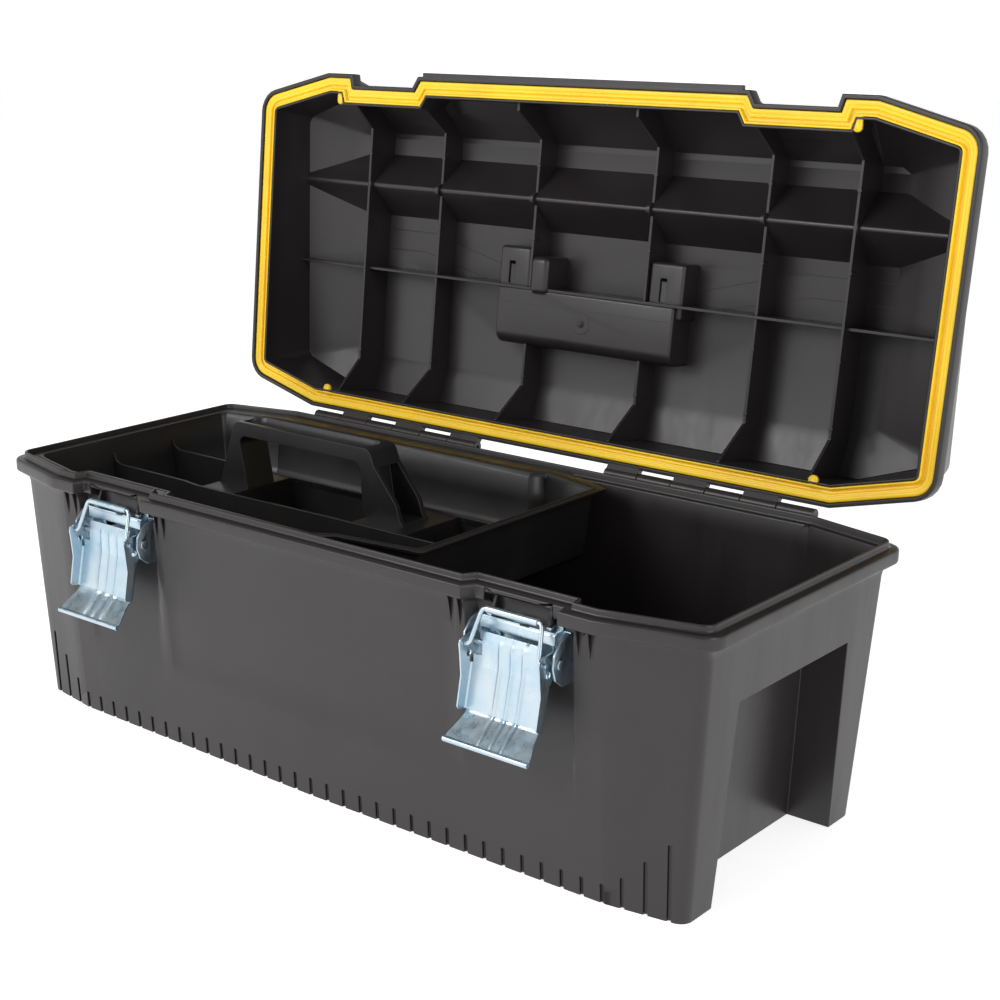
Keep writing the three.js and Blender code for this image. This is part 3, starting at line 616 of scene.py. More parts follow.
def recessed_front(inset, radius):
    """The left front corner of the tub's plan moved in by inset, on to the inner end of the latch recess."""
    front = -HALF_DEPTH
    corner = arc_corner((-HALF_LENGTH, CORNER_Y), (-HALF_LENGTH, -CORNER_Y), (-CHAMFER_X, front), radius)
    depths = (front, -RECESS_Y, -RECESS_Y, front)
    steps = [(-x, y) for x, y in zip(reversed(RECESS), depths)]
    outline = [*corner, (-CHAMFER_X, front), *steps, (0, front), (0, 0), (-HALF_LENGTH, 0)]
    return grown(outline, -inset)[:-3]


def rounded_all(points, radii):
    """The points with an arc at each one that has a radius."""
    result = []
    for i, (point, radius) in enumerate(zip(points, radii)):
        if radius:
            result += arc_corner(points[i - 1], point, points[(i + 1) % len(points)], radius, 5)
        else:
            result.append(point)
    return result


def tray_outlines():
    """The outside of the tray's body and of its rim, point for point."""
    inset, rim_inset = TRAY["inset"], TRAY["rim_inset"]
    depth = HALF_DEPTH - inset
    body_left = recessed_front(inset, inset + 9)
    rim_left = recessed_front(rim_inset, inset + 9)
    body = [body_left[-1], (6, -depth), (22, -119), (92, -108), (92, 108), (34, 124), (22, 116)]
    body += [(-268, 116), (inset - HALF_LENGTH, 104), body_left[0]]
    rim = [rim_left[-1], (10, rim_inset - HALF_DEPTH), (25, -124), (101, -114), (101, 114)]
    rim += [(42, 138.2), (20, 138.2)]
    rim += [(-CHAMFER_X, 138.2), (rim_inset - HALF_LENGTH, CORNER_Y - 2), rim_left[0]]
    radii = [0, 3, 3, 5, 5, 3, 0, 4, 8, 0]
    return (
        body_left + rounded_all(body, radii)[1:-1],
        rim_left + rounded_all(rim, radii)[1:-1],
    )


def tray():
    body, rim = tray_outlines()
    floor, wall, draft = TRAY["floor"], TRAY["wall"], TRAY["draft"]

    def body_ring(z, inset=0.0):
        return level(grown(body, -draft * (TRAY["rim"] - z) / (TRAY["rim"] - floor) - inset), z)

    under, top = TRAY["rim"], TRAY["rim_top"]
    rings = [body_ring(floor, 3), body_ring(floor + 0.8, 1)]
    rings += [body_ring(z) for z in (floor + 3, 185, under)]
    edge = ((-0.3, under), (0, 212.7), (0, 214.2), (-0.2, 214.6), (-0.7, top))
    rings += [level(grown(rim, d), z) for d, z in edge]
    out, thick, high = BEAD["out"], BEAD["thick"], BEAD["top"]
    bead = [(out, top), (out, high - 0.5), (out - 0.5, high)]
    bead += [(out - thick, high), (out - thick - 0.6, high - 0.6)]
    rings += [level(grown(body, d), z) for d, z in bead]
    rings += [body_ring(TRAY["rim"] - 2, wall), body_ring(190, wall)]
    scoop = 15
    for i in range(1, 7):
        turn = math.pi / 2 * i / 6
        z = floor + wall + scoop * (1 - math.sin(turn))
        rings.append(body_ring(z, wall + scoop * (1 - math.cos(turn))))
    piece = to_object(Skin(rings).close(), "tray_piece", SLOTS["tray"])
    bm = bmesh.new()
    bm.from_mesh(piece.data)
    dividers(bm)
    benches(bm)
    comb(bm)
    bm.from_mesh(tray_handle())
    bm.to_mesh(piece.data)
    bm.free()
    return finish_piece(piece, "tray", 0.0005)


def dividers(bm):
    """Two walls along the tray, each with a small peak where it meets the left end."""
    floor, top = TRAY["floor"] + 1, TRAY["divider_top"]
    left, right = -330.4, 88
    outline = [(left + 3, floor), (left, 202), (left + 2.4, 202), (left + 3.6, 198.5)]
    outline += [(left + 6.5, 195.4), (left + 11, top + 0.6), (-236, top), (-222, top - 1.2)]
    outline += [(-176, top - 1.2), (-60, top), (14, top), (right - 2, top), (right - 5, floor)]
    for side in (-1, 1):
        y = side * TRAY["divider"]
        prism(bm, outline, "Y", y - 1.2, y + 1.2)


def benches(bm):
    """The raised seats that the handle's legs stand on, the left one with a ramp."""
    floor, top, half = TRAY["floor"] + 1, TRAY["bench_top"], TRAY["divider"] - 0.8
    prism(bm, [(-243, floor), (-176, floor), (-176, top), (-214, top), (-238, top - 9)], "Y", -half, half)
    prism(bm, [(-44, floor), (17, floor), (13, top), (-44, top)], "Y", -half, half)


def comb(bm):
    """A fine comb of upright ribs along the top of the rear divider."""
    y, top = TRAY["divider"], TRAY["divider_top"]
    for i in range(131):
        x = -202 + 2 * i
        block(bm, (x - 0.45, x + 0.45), (y - 2.1, y - 1.1), (top - 5.5, top - 0.2))


def tray_handle():
    """The tray's handle: an open trough with round ends on two hollow, flared legs."""
    a = ARCH_HANDLE
    x0, x1, top, foot = a["x0"], a["x1"], a["top"], a["foot"]
    leg0, leg1, half = a["leg_x0"], a["leg_x1"], a["half"]
    outer = [(x0 - 15, foot - 2), (x0 - 10, foot + 4), (x0 - 6.5, foot + 16), (leg0 + 1, top - 11)]
    outer += arc_corner((leg0 + 1, top - 11), (leg0 + 3.4, top), (leg0 + 30, top), 9, 6)
    outer += arc_corner((leg1 - 30, top), (leg1 + 1, top), (leg1 + 6, top - 13), 9, 6)
    outer += [(leg1 + 6, top - 13), (x1 + 17, foot + 16), (x1 + 21, foot + 4), (x1 + 27, foot - 2)]
    under = top - 12
    inner = [(x1 - 18, foot - 2)]
    inner += arc_corner((x1 - 18, foot), (leg1 - 9, under), (leg0 + 40, under), 7, 5)
    inner += arc_corner((leg1 - 40, under), (leg0 + 9, under), (x0 + 22, foot), 7, 5)
    inner += [(x0 + 22, foot - 2)]
    bm = bmesh.new()
    prism(bm, outer + inner, "Y", -half, half)
    piece = to_object(bm, "tray_handle", "tray_plastic")
    bm = bmesh.new()
    prism(bm, circle((0, top + 3), 12.4, 40), "X", leg0 + 17, leg1 - 17)
    for end in (leg0 + 17, leg1 - 17):
        ball = bmesh.ops.create_uvsphere(bm, u_segments=32, v_segments=20, radius=12.4 * MM)
        bmesh.ops.translate(bm, verts=ball["verts"], vec=Vector((end, 0, top + 3)) * MM)
    trough = to_object(bm, "trough", "tray_plastic")
    remesh = trough.modifiers.new("one", "REMESH")
    remesh.mode = "VOXEL"
    remesh.voxel_size = 0.9 * MM
    combine(baked(trough), piece, "DIFFERENCE")
    for outline in (
        [(x0 - 20, foot + 1), (x0 + 3, foot + 1), (leg0 + 9, top - 15), (leg0 - 8, top - 15)],
        [(x1 - 6, foot + 1), (x1 + 32, foot + 1), (leg1 + 22, top - 15), (leg1 - 2, top - 15)],
    ):
        bm = bmesh.new()
        prism(bm, outline, "Y", -half + 4.5, half - 4.5)
        combine(to_object(bm, "leg_hollow", "tray_plastic"), piece, "DIFFERENCE")
    mesh = piece.data
    bpy.data.objects.remove(piece)
    return mesh


def baked(piece):
    """The piece with its modifiers taken into its mesh."""
    bpy.context.view_layer.update()
    graph = bpy.context.evaluated_depsgraph_get()
    made = bpy.data.meshes.new_from_object(piece.evaluated_get(graph))
    piece.modifiers.clear()
    piece.data = made
    return piece


def rounded(piece, width, segments=3, angle=30):
    """The piece with its edges rounded in its mesh."""
    bevel = piece.modifiers.new("round", "BEVEL")
    bevel.width = width * MM
    bevel.segments = segments
    bevel.limit_method = "ANGLE"
    bevel.angle_limit = math.radians(angle)
    bevel.use_clamp_overlap = True
    return baked(piece)


# ------------------------------------------------------------ lid, drawn shut
LID = {"rim": LID_FACE_Z, "rim_top": 225, "rim_out": 10.8, "top": 286, "plate": 3.5}
SEAL = {"face": 215.2, "back": 221, "out": 7, "inset": 4.7}
RIB = {"thick": 2.6, "at": (60, 167, 248), "inner": 258, "outer": 250, "rim": 223}
SPINE = {"y": 20.5, "edge": 255, "thick": 2.6}
SAW = {"y": -56, "ridge": 252, "half": 31, "wall": 3.4, "nose": 3}
HOUSING = {"half": 92, "y0": 21, "y1": 71, "face": 255, "wall": 3.5}
BOSS = {"x0": 62, "x1": 96, "y0": -14, "face": 260}


def between(a, b, count):
    return [tuple(mix(p, q, (i + 1) / (count + 1)) for p, q in zip(a, b)) for i in range(count)]


def lid_plan(recess, front_chamfer, front_corner, back_corner, back_chamfer, radius):
    """The lid's plan, with columns enough that a ring between two others stays even."""
    front = arc_corner(front_chamfer, front_corner, back_corner, radius, 5)
    back = arc_corner(front_corner, back_corner, back_chamfer, radius, 5)
    half = [(recess[0][0] * (i + 1) / 6, recess[0][1]) for i in range(5)]
    half += [*recess, *between(recess[3], front_chamfer, 1), front_chamfer]
    half += [*between(front_chamfer, front[0], 3), *front, *between(front[-1], back[0], 11)]
    half += [*back, *between(back[-1], back_chamfer, 3), back_chamfer]
    half += [(back_chamfer[0] * (10 - i) / 11, back_chamfer[1]) for i in range(10)]
    return mirrored(half)


def recess_corners(front, back):
    """The latch recess in the front edge, from its inner step to its outer one."""
    return list(zip(RECESS, (front, back, back, front)))


LID_RIM_PLAN = lid_plan(
    recess_corners(-HALF_DEPTH, -RECESS_Y),
    (CHAMFER_X, -HALF_DEPTH),
    (HALF_LENGTH, -CORNER_Y),
    (HALF_LENGTH, CORNER_Y),
    (CHAMFER_X, HALF_DEPTH),
    CORNER_RADIUS,
)


def shoulder_ring(inset, drop):
    plan = lid_plan(
        recess_corners(inset - 141, inset - 134),
        (CHAMFER_X, inset - 141),
        (338 - inset, inset - 118),
        (338 - inset, 120 - inset),
        (CHAMFER_X - inset, 143 - inset),
        CORNER_RADIUS,
    )
    return [(x, y, mix(256, 276, (y + 143) / 286) - drop) for x, y in plan]


def plate_ring(inset, drop):
    front = inset / 2 - 106
    plan = lid_plan(
        [(x, front) for x in RECESS],
        (CHAMFER_X - 6, front),
        (276 - inset / 2, -98),
        (276 - inset / 2, 98),
        (CHAMFER_X - 6, 108 - inset / 2),
        3,
    )
    return level(plan, LID["top"] - drop)


def eased(first, second, steps):
    """The rings strictly between two others."""

    def ring(t):
        return [tuple(mix(p, q, t) for p, q in zip(a, b)) for a, b in zip(first, second)]

    return [ring(i / steps) for i in range(1, steps)]


def lid_outside(shrink):
    """The solid inside the lid's outer skin, which what stands in the lid is trimmed to."""
    foot = level(grown(LID_RIM_PLAN, LID["rim_out"] - 4 - shrink), LID["rim_top"] - 3)
    shoulder, plate = shoulder_ring(shrink, shrink), plate_ring(shrink, shrink)
    skin = Skin([foot, *eased(foot, shoulder, 2), shoulder, plate])
    return to_object(skin.close(), "lid_outside", "black_foam")


def saw_prism(low, nose, reach, top):
    """The V section of the saw groove, with its foot at height low."""
    slope = SAW["half"] / (LID["top"] - SAW["ridge"])
    half = (top - low) * slope
    left, tip, right = (SAW["y"] - half, top), (SAW["y"], low), (SAW["y"] + half, top)
    bm = bmesh.new()
    prism(bm, [left, *arc_corner(left, tip, right, nose, 6), right], "X", -reach, reach)
    return to_object(bm, "saw_groove", "black_foam")


def trimmed(bm, name):
    """A rib inside the lid, ended in the walls of the saw groove and of the handle's well."""
    rib = combine(lid_outside(0.8), to_object(bm, name, "black_foam"), "INTERSECT")
    combine(saw_prism(SAW["ridge"] + SAW["wall"] * 0.7, 1.5, 360, LID["top"] + 4), rib, "DIFFERENCE")
    wall, high = HOUSING["wall"] / 2, LID["top"] + 4
    half, y0, y1 = HOUSING["half"] - wall, HOUSING["y0"] + wall, HOUSING["y1"] - wall
    hollows = [((-half, half), (y0, y1), (HOUSING["face"] + wall, high))]
    for side in (-1, 1):
        x = either_side(side, BOSS["x0"] + wall, BOSS["x1"] - wall)
        hollows.append((x, (BOSS["y0"] + wall, y0 + wall), (BOSS["face"] + wall, high)))
    for hollow in hollows:
        combine(box_tool(*hollow), rib, "DIFFERENCE")
    return rib


def lid_ribs():
    bm = bmesh.new()
    for i, x in enumerate(RIB["at"]):
        free = RIB["outer"] if i == 2 else RIB["inner"]
        rim, top = RIB["rim"], LID["top"]
        outline = [(-150, rim), (-128, rim), (-106, free), (106, free), (134, rim), (150, rim)]
        outline += [(150, top), (-150, top)]
        for side in (-1, 1):
            prism(bm, outline, "X", side * x - RIB["thick"] / 2, side * x + RIB["thick"] / 2)
    return trimmed(bm, "ribs")


def rib_marks(bm):
    """Ejector marks along the ribs' edges, and the collars where the ribs cross the ridge of the groove."""
    for i, x in enumerate(RIB["at"]):
        free = RIB["outer"] if i == 2 else RIB["inner"]
        for side in (-1, 1):
            for y in (-84, -22, 46, 98):
                prism(bm, circle((side * x, y), 2.0, 16), "Z", free - 0.3, free + 8)
            ridge = SAW["ridge"] + 3.4
            prism(bm, circle((SAW["y"], ridge), 5.2, 28), "X", side * x - 1.9, side * x + 1.9)


def handle_housing():
    """The well that the carry handle folds into and the bosses that its pins turn in, as seen from inside."""
    half, y0, y1, face, wall = (HOUSING[k] for k in ("half", "y0", "y1", "face", "wall"))
    top = LID["top"] + 4
    bm = bmesh.new()
    round_side = arc_corner((y0, face), (y1, face), (y1, top), 11, 6)
    prism(bm, [(y0, face), *round_side, (y1, top), (y0, top)], "X", -half, half)
    piece = rounded(to_object(bm, "housing", "black_foam"), 2.4)
    for side in (-1, 1):
        boss = box_tool(
            either_side(side, BOSS["x0"], BOSS["x1"]),
            (BOSS["y0"], y0 + 12),
            (BOSS["face"], top),
        )
        combine(rounded(boss, 3.2, 4), piece, "UNION")
    combine(rounded(box_tool((-56, -37), (-8, 25), (251, top)), 5.5, 5), piece, "UNION")
    well = box_tool((wall - half, half - wall), (y0 + wall, y1 - wall - 1), (face + wall, top + 1))
    combine(well, piece, "DIFFERENCE")
    boss_y, boss_face = BOSS["y0"], BOSS["face"]
    for side in (-1, 1):
        x0, x1 = either_side(side, BOSS["x0"], BOSS["x1"])
        bay = box_tool((x0 + wall, x1 - wall), (boss_y + wall, y0 + wall + 1), (boss_face + wall, top + 1))
        combine(bay, piece, "DIFFERENCE")
        slot = box_tool((x0 + 11, x0 + 17.5), (-1, 18.5), (boss_face - 3, boss_face + wall + 1))
        combine(slot, piece, "DIFFERENCE")
    return combine(lid_outside(0.05), piece, "INTERSECT")


def gate_mark(bm):
    """The round gate and its torn stub in the middle of the housing, and the mould line across it."""
    face = HOUSING["face"]
    for radius, rise in ((9.2, 0.35), (8.3, 0.1), (3.6, 1.1), (2.6, 1.9), (1.5, 2.6)):
        prism(bm, circle((0, 45), radius, 40), "Z", face - rise, face + 1.5)
    block(bm, (-HOUSING["half"] + 2.4, HOUSING["half"] - 2.4), (33.8, 34.3), (face - 0.25, face + 1))


def plate_lines(bm):
    """Fine raised lines on the inside of the top plate, out from the housing to both ends."""
    under = LID["top"] - LID["plate"]
    for side in (-1, 1):
        for start, middle, end in (((96, 26), (200, 2), (272, 2)), ((96, 8), (190, -16), (272, -16))):
            for a, b in ((start, middle), (middle, end)):
                near, far = (side * a[0], a[1]), (side * b[0], b[1])
                quad = [near, far, (far[0], far[1] + 0.7), (near[0], near[1] + 0.7)]
                prism(bm, quad, "Z", under - 0.35, under + 1)


def lid_shell():
    rim_out, top = LID["rim_out"], LID["rim_top"]
    outer_foot = level(grown(LID_RIM_PLAN, rim_out - 4), top)
    outer_shoulder, outer_plate = shoulder_ring(0, 0), plate_ring(0, 0)
    rings = [outer_plate, outer_shoulder, *eased(outer_shoulder, outer_foot, 3), outer_foot]
    mouth = SEAL["inset"] + 2.3
    profile = [(9.4, top), (10.2, 224.7), (10.7, 224), (10.8, 223), (10.8, 214.6), (10.6, 213.9), (10, 213.4)]
    profile += [(7.6, 213.4), (7.3, 213.8), (7.3, SEAL["back"] + 0.3), (-5, SEAL["back"] + 0.3), (-5, 215.5)]
    profile += [(-5.3, 215.2), (-6.7, 215.2), (-mouth, 215.6), (-mouth, 219)]
    rings += [level(grown(LID_RIM_PLAN, d), z) for d, z in profile]
    inner_foot = level(grown(LID_RIM_PLAN, -mouth), top)
    inner_shoulder, inner_plate = shoulder_ring(6, LID["plate"]), plate_ring(6, LID["plate"])
    rings += [inner_foot, *eased(inner_foot, inner_shoulder, 3), inner_shoulder]
    rings += [*eased(inner_shoulder, inner_plate, 3), inner_plate]
    piece = to_object(Skin(rings).close(), "lid_shell_piece", SLOTS["lid_shell"])

    combine(saw_prism(SAW["ridge"] + SAW["wall"] * 1.4, 1.0, 360, LID["top"] + 4), piece, "DIFFERENCE")
    wall = HOUSING["wall"]
    half = HOUSING["half"] - wall
    mouth_y = (HOUSING["y0"] + wall, HOUSING["y1"] - wall)
    combine(box_tool((-half, half), mouth_y, (260, 290)), piece, "DIFFERENCE")
    for side in (-1, 1):
        x = either_side(side, BOSS["x0"] + wall, BOSS["x1"] - wall)
        bay_mouth = box_tool(x, (BOSS["y0"] + wall, HOUSING["y0"] + wall + 1), (264, 290))
        combine(bay_mouth, piece, "DIFFERENCE")

    channel = saw_prism(SAW["ridge"], SAW["nose"], 350, LID["top"] + 1)
    combine(saw_prism(SAW["ridge"] + SAW["wall"] * 1.4, 1.0, 360, LID["top"] + 4), channel, "DIFFERENCE")
    combine(lid_outside(0.02), channel, "INTERSECT")
    bm = bmesh.new()
    y, half = SPINE["y"], SPINE["thick"] / 2
    block(bm, (-350, 350), (y - half, y + half), (SPINE["edge"], 290))
    spine = trimmed(bm, "spine")

    bm = bmesh.new()
    bm.from_mesh(piece.data)
    for part in (channel, lid_ribs(), spine, handle_housing()):
        bm.from_mesh(part.data)
        bpy.data.objects.remove(part)
    rib_marks(bm)
    gate_mark(bm)
    plate_lines(bm)
    block(bm, (-160, 160), (-155.4, -HALF_DEPTH - rim_out + 2), (LID["rim"] + 0.1, LID["rim"] + 3.8))
    for side in (-1, 1):
        for x0, x1 in barrels(0, side):
            knuckle(bm, x0, x1, HALF_DEPTH + rim_out - 2, LID["rim"] + 0.2, LID["rim"] + 8)
    closed_to_open(bm)
    bm.to_mesh(piece.data)
    bm.free()
    return finish_piece(piece, "lid_shell", 0.0005)


def lid_seal():
    """The seal: two ridges with the groove that the tub's tongue closes into, and four small tabs."""
    face, back = SEAL["face"], SEAL["back"]
    outer = [(7, back), (7, 216.2), (6.7, 215.5), (6.1, face), (4.4, face), (3.7, 215.45)]
    outer += [(3.2, 216.1), (2.2, 216.35)]
    groove = [(1.2, 216.2), (0.7, 216.6), (0.5, 217.2), (0.5, 218.5), (0.1, 219), (-2.5, 219)]
    groove += [(-2.9, 218.5), (-2.9, 216.4)]
    inner = [(-3.1, 215.6), (-3.5, face), (-4.1, face), (-4.6, 215.6), (-4.7, 216.3), (-4.7, back)]
    profile = outer + groove + inner
    rings = [level(grown(LID_RIM_PLAN, d), z) for d, z in [*profile, profile[0]]]
    bm = Skin(rings).bm
    bmesh.ops.remove_doubles(bm, verts=bm.verts, dist=1e-6)
    for side in (-1, 1):
        for x, y0, y1, radius in ((257.5, -138, -125.5, 3.4), (256, 129.5, 139, 3.9)):
            sweep = math.pi if y0 < 0 else -math.pi
            tip = y1 if y0 < 0 else y0
            outline = [(side * x + radius, y0 if y0 < 0 else y1)]
            outline += circle((side * x, tip - math.copysign(radius, sweep)), radius, 14, 0, sweep, False)
            outline += [(side * x - radius, y0 if y0 < 0 else y1)]
            prism(bm, outline, "Z", face + 0.2, face + 3)
    bmesh.ops.recalc_face_normals(bm, faces=bm.faces)
    closed_to_open(bm)
    return finish_piece(to_object(bm, "lid_seal_piece", SLOTS["lid_seal"]), "lid_seal", 0)


# ------------------------------------------------------------ latches
LEVER = {"half": 34.2, "neck": 31.0, "lip": 36.2, "tongue": 24.2, "sheet": 1.3, "bend": 1.5}
LEVER["ribs"] = (-8, 2, 12)
LEVER_PATH = ((-144.6, 183.2), (-146.6, 177), (-146.9, 160), (-153.8, 127.5), (-172.6, 111))
NOTCH_Z = 166.6
EAR_FRONT = ((127.8, -156.5), (129, -160.3), (131, -161.7), (136, -160.8), (153, -157.6), (161, -158.4))
WIRE = {"radius": 1.6, "foot": (-154, 175), "top": (-145, 200), "top_half": 25, "leg_half": 29.4, "end": 36.2}
WIRE_BEND = 3.6
SLEEVE = {"radius": 2.7, "half": 21.6}


def lever_rows():
    """The lever's front in side view, from its top to its lip, with a soft bend above the lip."""
    top, shoulder, knee, bend, lip = LEVER_PATH
    points = [top, *between(top, shoulder, 3), shoulder, *between(shoulder, knee, 5), knee]
    points += [*between(knee, bend, 12), *arc_corner(knee, bend, lip, 8, 6), *between(bend, lip, 4)[1:], lip]
    for z in (NOTCH_Z, NOTCH_Z - 0.3):
        points.append((mix(knee[0], shoulder[0], (z - knee[1]) / (shoulder[1] - knee[1])), z))
    for z, _ in EAR_FRONT[:4]:
        points.append((mix(bend[0], knee[0], (z - bend[1]) / (knee[1] - bend[1])), z))
    return sorted({(round(y, 3), round(z, 3)) for y, z in points}, key=lambda p: -p[1])


def lever_half(z):
    """Half the face's width at height z: a narrow top, the width between the ears, and a flared lip."""
    inner = LEVER["half"] - LEVER["sheet"] - LEVER["bend"]
    if z >= NOTCH_Z:
        return LEVER["tongue"]
    if z > 127:
        return inner
    return mix(LEVER["lip"], LEVER["neck"], max(0, min(1, (z - 113) / 11)))


def lever_columns():
    near_ribs = [rib + d for rib in LEVER["ribs"] for d in (-2.4, -1.7, -1.0, -0.5, 0, 0.5, 1.0, 1.7, 2.4)]
    return [-1.0, -0.9, -0.8, -0.65, -0.5], sorted(near_ribs), [0.5, 0.65, 0.8, 0.9, 1.0]


def rib_rise(x, z):
    """How far the three pressed ribs stand out at this place."""
    along = max(0, min(1, (179 - z) / 5)) * max(0, min(1, (z - 110) / 4))
    nearest = min(abs(x - rib) for rib in LEVER["ribs"])
    return 0.95 * along * max(0, math.cos(min(1, nearest / 2.2) * math.pi / 2)) ** 1.2


def ear_front(z):
    for (z0, y0), (z1, y1) in zip(EAR_FRONT, EAR_FRONT[1:]):
        if z <= z1:
            return mix(y0, y1, (z - z0) / (z1 - z0))
    return EAR_FRONT[-1][1]


def ear_line(bm, centre, side, edge, y, z):
    """One level of an ear: the face's edge, the rounded bend and the side turned forward from it."""
    bend = LEVER["bend"]
    inner = LEVER["half"] - LEVER["sheet"]
    places = []
    for turn in (22.5, 45, 67.5, 90):
        a = math.radians(turn)
        places.append((inner - bend + bend * math.sin(a), y - bend + bend * math.cos(a)))
    places += [(inner, mix(y - bend, ear_front(z), t)) for t in (0.25, 0.5, 0.75, 1)]
    return [edge, *(bm.verts.new(Vector((centre + side * x, py, z)) * MM) for x, py in places)]


def latch_lever(node, centre):
    left, middle, right = lever_columns()
    bm = bmesh.new()
    grid = []
    ears = {-1: [], 1: []}
    for y, z in lever_rows():
        half = lever_half(z)
        xs = [u * half for u in left] + middle + [u * half for u in right]
        row = [bm.verts.new(Vector((centre + x, y - rib_rise(x, z), z)) * MM) for x in xs]
        grid.append(row)
        if EAR_FRONT[0][0] <= z <= EAR_FRONT[-1][0]:
            for side, edge in ((-1, row[0]), (1, row[-1])):
                ears[side].append(ear_line(bm, centre, side, edge, y, z))
    for sheet in (grid, ears[-1], ears[1]):
        for low, high in zip(sheet, sheet[1:]):
            for i in range(len(low) - 1):
                bm.faces.new((low[i], high[i], high[i + 1], low[i + 1]))
    bmesh.ops.recalc_face_normals(bm, faces=bm.faces)
    piece = to_object(bm, node + "_piece", SLOTS[node])
    if piece.data.polygons[len(piece.data.polygons) // 8].normal.y > 0:
        piece.data.flip_normals()
    sheet = piece.modifiers.new("sheet", "SOLIDIFY")
    sheet.thickness = LEVER["sheet"] * MM
    sheet.offset = -1
    baked(piece)
    lobes = ear_lobes(centre)
    bm = bmesh.new()
    bm.from_mesh(piece.data)
    bm.from_mesh(lobes.data)
    bpy.data.objects.remove(lobes)
    y, z = LEVER_PATH[-1]
    prism(bm, circle((y - 0.1, z - 0.4), 2.1, 20), "X", centre - LEVER["lip"], centre + LEVER["lip"])
    bm.to_mesh(piece.data)
    bm.free()
    return finish_piece(piece, node, 0.0003, 2, 40)


def ear_lobes(centre):
    """The upper parts of the two ears, with holes for the pivot and the wire and a round one below."""
    outline = [(-158.2, 159), (-159.2, 170), (-160, 175.6), (-158.9, 178.6), (-156, 180.2)]
    outline += [(-150, 181.4), (-142, 181.5), (-139.4, 180.2), (-137.6, 177.6), (-136.9, 174.6)]
    outline += [(-137.4, 171), (-141, 166), (-145, 161.5), (-146.8, 159)]
    bm = bmesh.new()
    for side in (-1, 1):
        x0, x1 = sorted((side * (LEVER["half"] - LEVER["sheet"] + 0.03), side * (LEVER["half"] - 0.03)))
        prism(bm, outline, "X", centre + x0, centre + x1)
    lobes = to_object(bm, "lobes", "zinc_plate")
    for y, z, radius in ((-143, 174, 2.35), (-154, 175, 1.9), (-149.6, 167, 2.4)):
        bm = bmesh.new()
        prism(bm, circle((y, z), radius, 24), "X", centre - 40, centre + 40)
        combine(to_object(bm, "hole", "zinc_plate"), lobes, "DIFFERENCE")
    return lobes


def latch_bail(node, centre):
    """The bent wire with its turned-out ends, and the sleeve on its top bar."""
    foot_y, foot_z = WIRE["foot"]
    top_y, top_z = WIRE["top"]
    corners = [
        Vector((-WIRE["end"], foot_y, foot_z)),
        Vector((-WIRE["leg_half"], foot_y, foot_z)),
        Vector((-WIRE["top_half"], top_y, top_z)),
        Vector((WIRE["top_half"], top_y, top_z)),
        Vector((WIRE["leg_half"], foot_y, foot_z)),
        Vector((WIRE["end"], foot_y, foot_z)),
    ]
    path = [corners[0]]
    for before, corner, after in zip(corners, corners[1:], corners[2:]):
        start = corner + (before - corner).normalized() * WIRE_BEND
        finish = corner + (after - corner).normalized() * WIRE_BEND
        for step in range(9):
            t = step / 8
            path.append(start * (1 - t) ** 2 + corner * 2 * t * (1 - t) + finish * t * t)
    path.append(corners[-1])
    normal = (corners[2] - corners[1]).cross(Vector((1, 0, 0))).normalized()
    bm = bmesh.new()
    rings = []
    for i, point in enumerate(path):
        along = (path[min(i + 1, len(path) - 1)] - path[max(i - 1, 0)]).normalized()
        across = along.cross(normal)
        ring = []
        for step in range(16):
            a = 2 * math.pi * step / 16
            place = point + (across * math.cos(a) + normal * math.sin(a)) * WIRE["radius"]
            ring.append(bm.verts.new((place + Vector((centre, 0, 0))) * MM))
        rings.append(ring)
    for low, high in zip(rings, rings[1:]):
        for i in range(16):
            bm.faces.new((low[i], low[(i + 1) % 16], high[(i + 1) % 16], high[i]))
    bm.faces.new(rings[0])
    bm.faces.new(rings[-1])
    half = SLEEVE["half"]
    prism(bm, circle(WIRE["top"], SLEEVE["radius"], 28), "X", centre - half, centre + half)
    bmesh.ops.recalc_face_normals(bm, faces=bm.faces)
    return finish_piece(to_object(bm, node + "_piece", SLOTS[node]), node, 0.0004, 3, 40)


def latch_bracket(node, centre):
    """The bracket's own shape with its shelf bent down at the front, and small stops on the shelf."""
    piece = cad_copy(node)
    bm = bmesh.new()
    bm.from_mesh(piece.data)
    back, hem = -131, 184.2
    outer, inner = [], []
    for line, y, z, radius in ((outer, -140.1, 193.06, 3.2), (inner, -138.7, 191.7, 1.9)):
        line += [(back, z), *arc_corner((back, z), (y, z), (y, hem), radius, 6), (y, hem)]
    half = LEVER["half"] - 2.6
    prism(bm, [*outer, *reversed(inner)], "X", centre - half, centre + half)
    for x0, x1 in ((-29, -24.5), (-5, 5), (22, 26)):
        block(bm, (centre + x0, centre + x1), (-136.4, -133.8), (192.8, 194.7))
    bm.to_mesh(piece.data)
    bm.free()
    return finish_piece(piece, node, 0.0003, 3)


# ------------------------------------------------------------ the rest keep their CAD shapes

base_shell()
tray()
lid_shell()
lid_seal()
done = {"base_shell", "tray", "lid_shell", "lid_seal"}
for end, x in (("left", -LATCH_X), ("right", LATCH_X)):
    for make in (latch_lever, latch_bail, latch_bracket):
        make(f"{make.__name__}_{end}", x)
        done.add(f"{make.__name__}_{end}")
for node in NODES:
    if node not in done:
        plastic = SLOTS[node] in ("black_foam", "soft_grip")
        finish_piece(cad_copy(node), node, 0.0008 if plastic else 0.0003, 3)

# ------------------------------------------------------------ stage


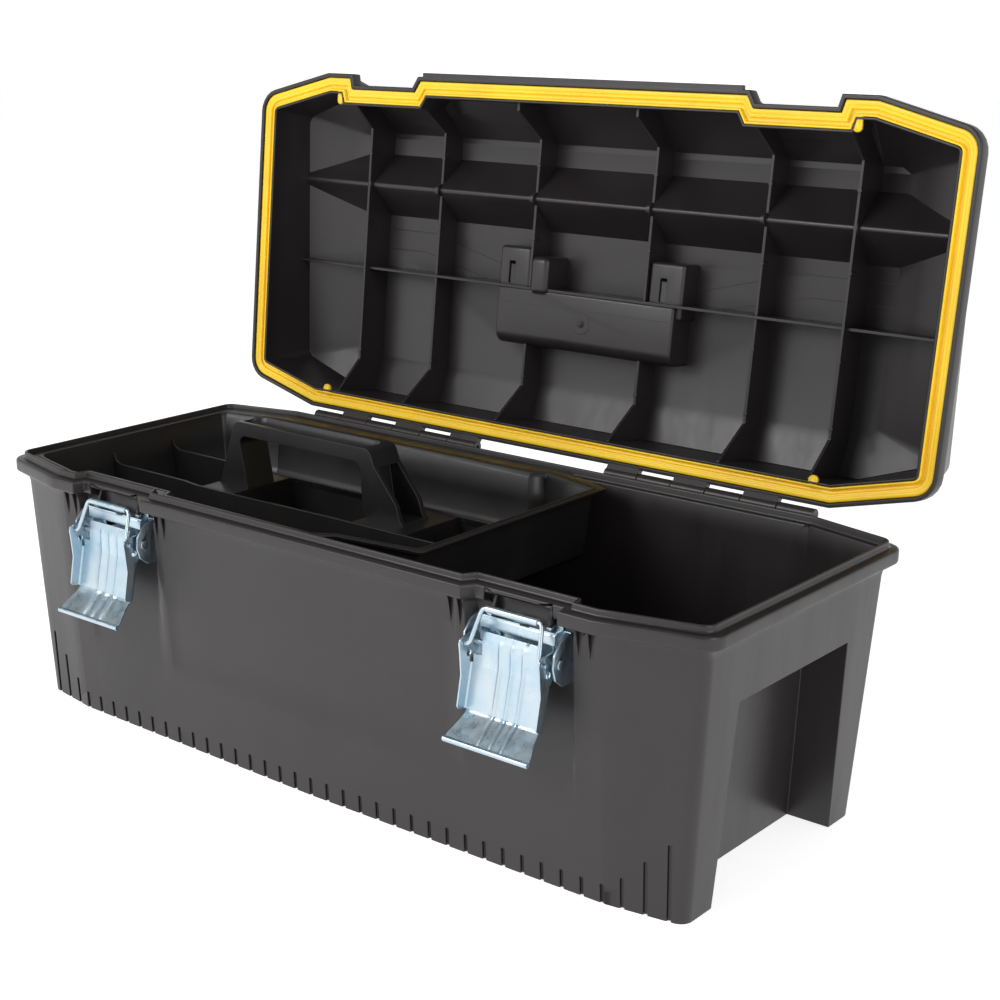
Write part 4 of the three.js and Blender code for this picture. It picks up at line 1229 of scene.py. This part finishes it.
CAMERA = {"lens": 64.49, "shift": (0.0789, 0.0896), "azimuth": 40.56, "elevation": 18.56}
CAMERA.update(distance=1.4457, target=(0, 0.0024, 0.1356))
FLOOR_HALF = 9
FLOOR_GLOW = 0.62
LIGHTS = (
    ("key", (-0.9, -1.9, 1.5), (0, 0, 0.15), (1.4, 1.0), 26),
    ("side", (2.1, -0.5, 1.3), (0.3, 0, 0.15), (1.0, 1.2), 12),
    ("top", (0.1, 0.3, 2.4), (0, 0.1, 0.2), (2.0, 1.2), 5),
)


def area_light(name, place, target, size, power):
    data = bpy.data.lights.new(name, "AREA")
    data.shape = "RECTANGLE"
    data.size, data.size_y = size
    data.energy = power
    light = bpy.data.objects.new(name, data)
    bpy.context.scene.collection.objects.link(light)
    light.location = place
    light.rotation_euler = (Vector(target) - Vector(place)).to_track_quat("-Z", "Y").to_euler()


def stage():
    """A white floor that glows a little, and a sky that is bright at the horizon and dim overhead."""
    mesh = bpy.data.meshes.new("floor")
    far = FLOOR_HALF
    mesh.from_pydata([(-far, -far, 0), (far, -far, 0), (far, far, 0), (-far, far, 0)], [], [(0, 1, 2, 3)])
    floor = bpy.data.objects.new("floor", mesh)
    bpy.context.scene.collection.objects.link(floor)
    material, _, bsdf = shader("floor", (0.9, 0.9, 0.9), 0.8)
    bsdf.inputs["Emission Color"].default_value = (1, 1, 1, 1)
    bsdf.inputs["Emission Strength"].default_value = FLOOR_GLOW
    mesh.materials.append(material)
    world = bpy.data.worlds.new("studio")
    bpy.context.scene.world = world
    world.use_nodes = True
    tree = world.node_tree
    background = tree.nodes["Background"]
    background.inputs["Color"].default_value = (1, 1, 1, 1)
    ways = add(tree, "ShaderNodeTexCoord").outputs["Generated"]
    split = add(tree, "ShaderNodeSeparateXYZ")
    tree.links.new(ways, split.inputs["Vector"])
    tree.links.new(ramp(tree, split.outputs["Z"], 0.08, 0.6, 1.2, 0.16), background.inputs["Strength"])
    for light in LIGHTS:
        area_light(*light)
    view = bpy.context.scene.view_settings
    view.view_transform = "Standard"
    view.exposure = 0.12


def camera():
    data = bpy.data.cameras.new("camera")
    data.lens = CAMERA["lens"]
    data.sensor_width = 36
    data.shift_x, data.shift_y = CAMERA["shift"]
    data.clip_end = 50
    cam = bpy.data.objects.new("camera", data)
    bpy.context.scene.collection.objects.link(cam)
    target = Vector(CAMERA["target"])
    azimuth, elevation = math.radians(CAMERA["azimuth"]), math.radians(CAMERA["elevation"])
    away = Vector((
        math.sin(azimuth) * math.cos(elevation),
        -math.cos(azimuth) * math.cos(elevation),
        math.sin(elevation),
    ))
    cam.location = target + away * CAMERA["distance"]
    cam.rotation_euler = (-away).to_track_quat("-Z", "Y").to_euler()
    bpy.context.scene.camera = cam


stage()
camera()
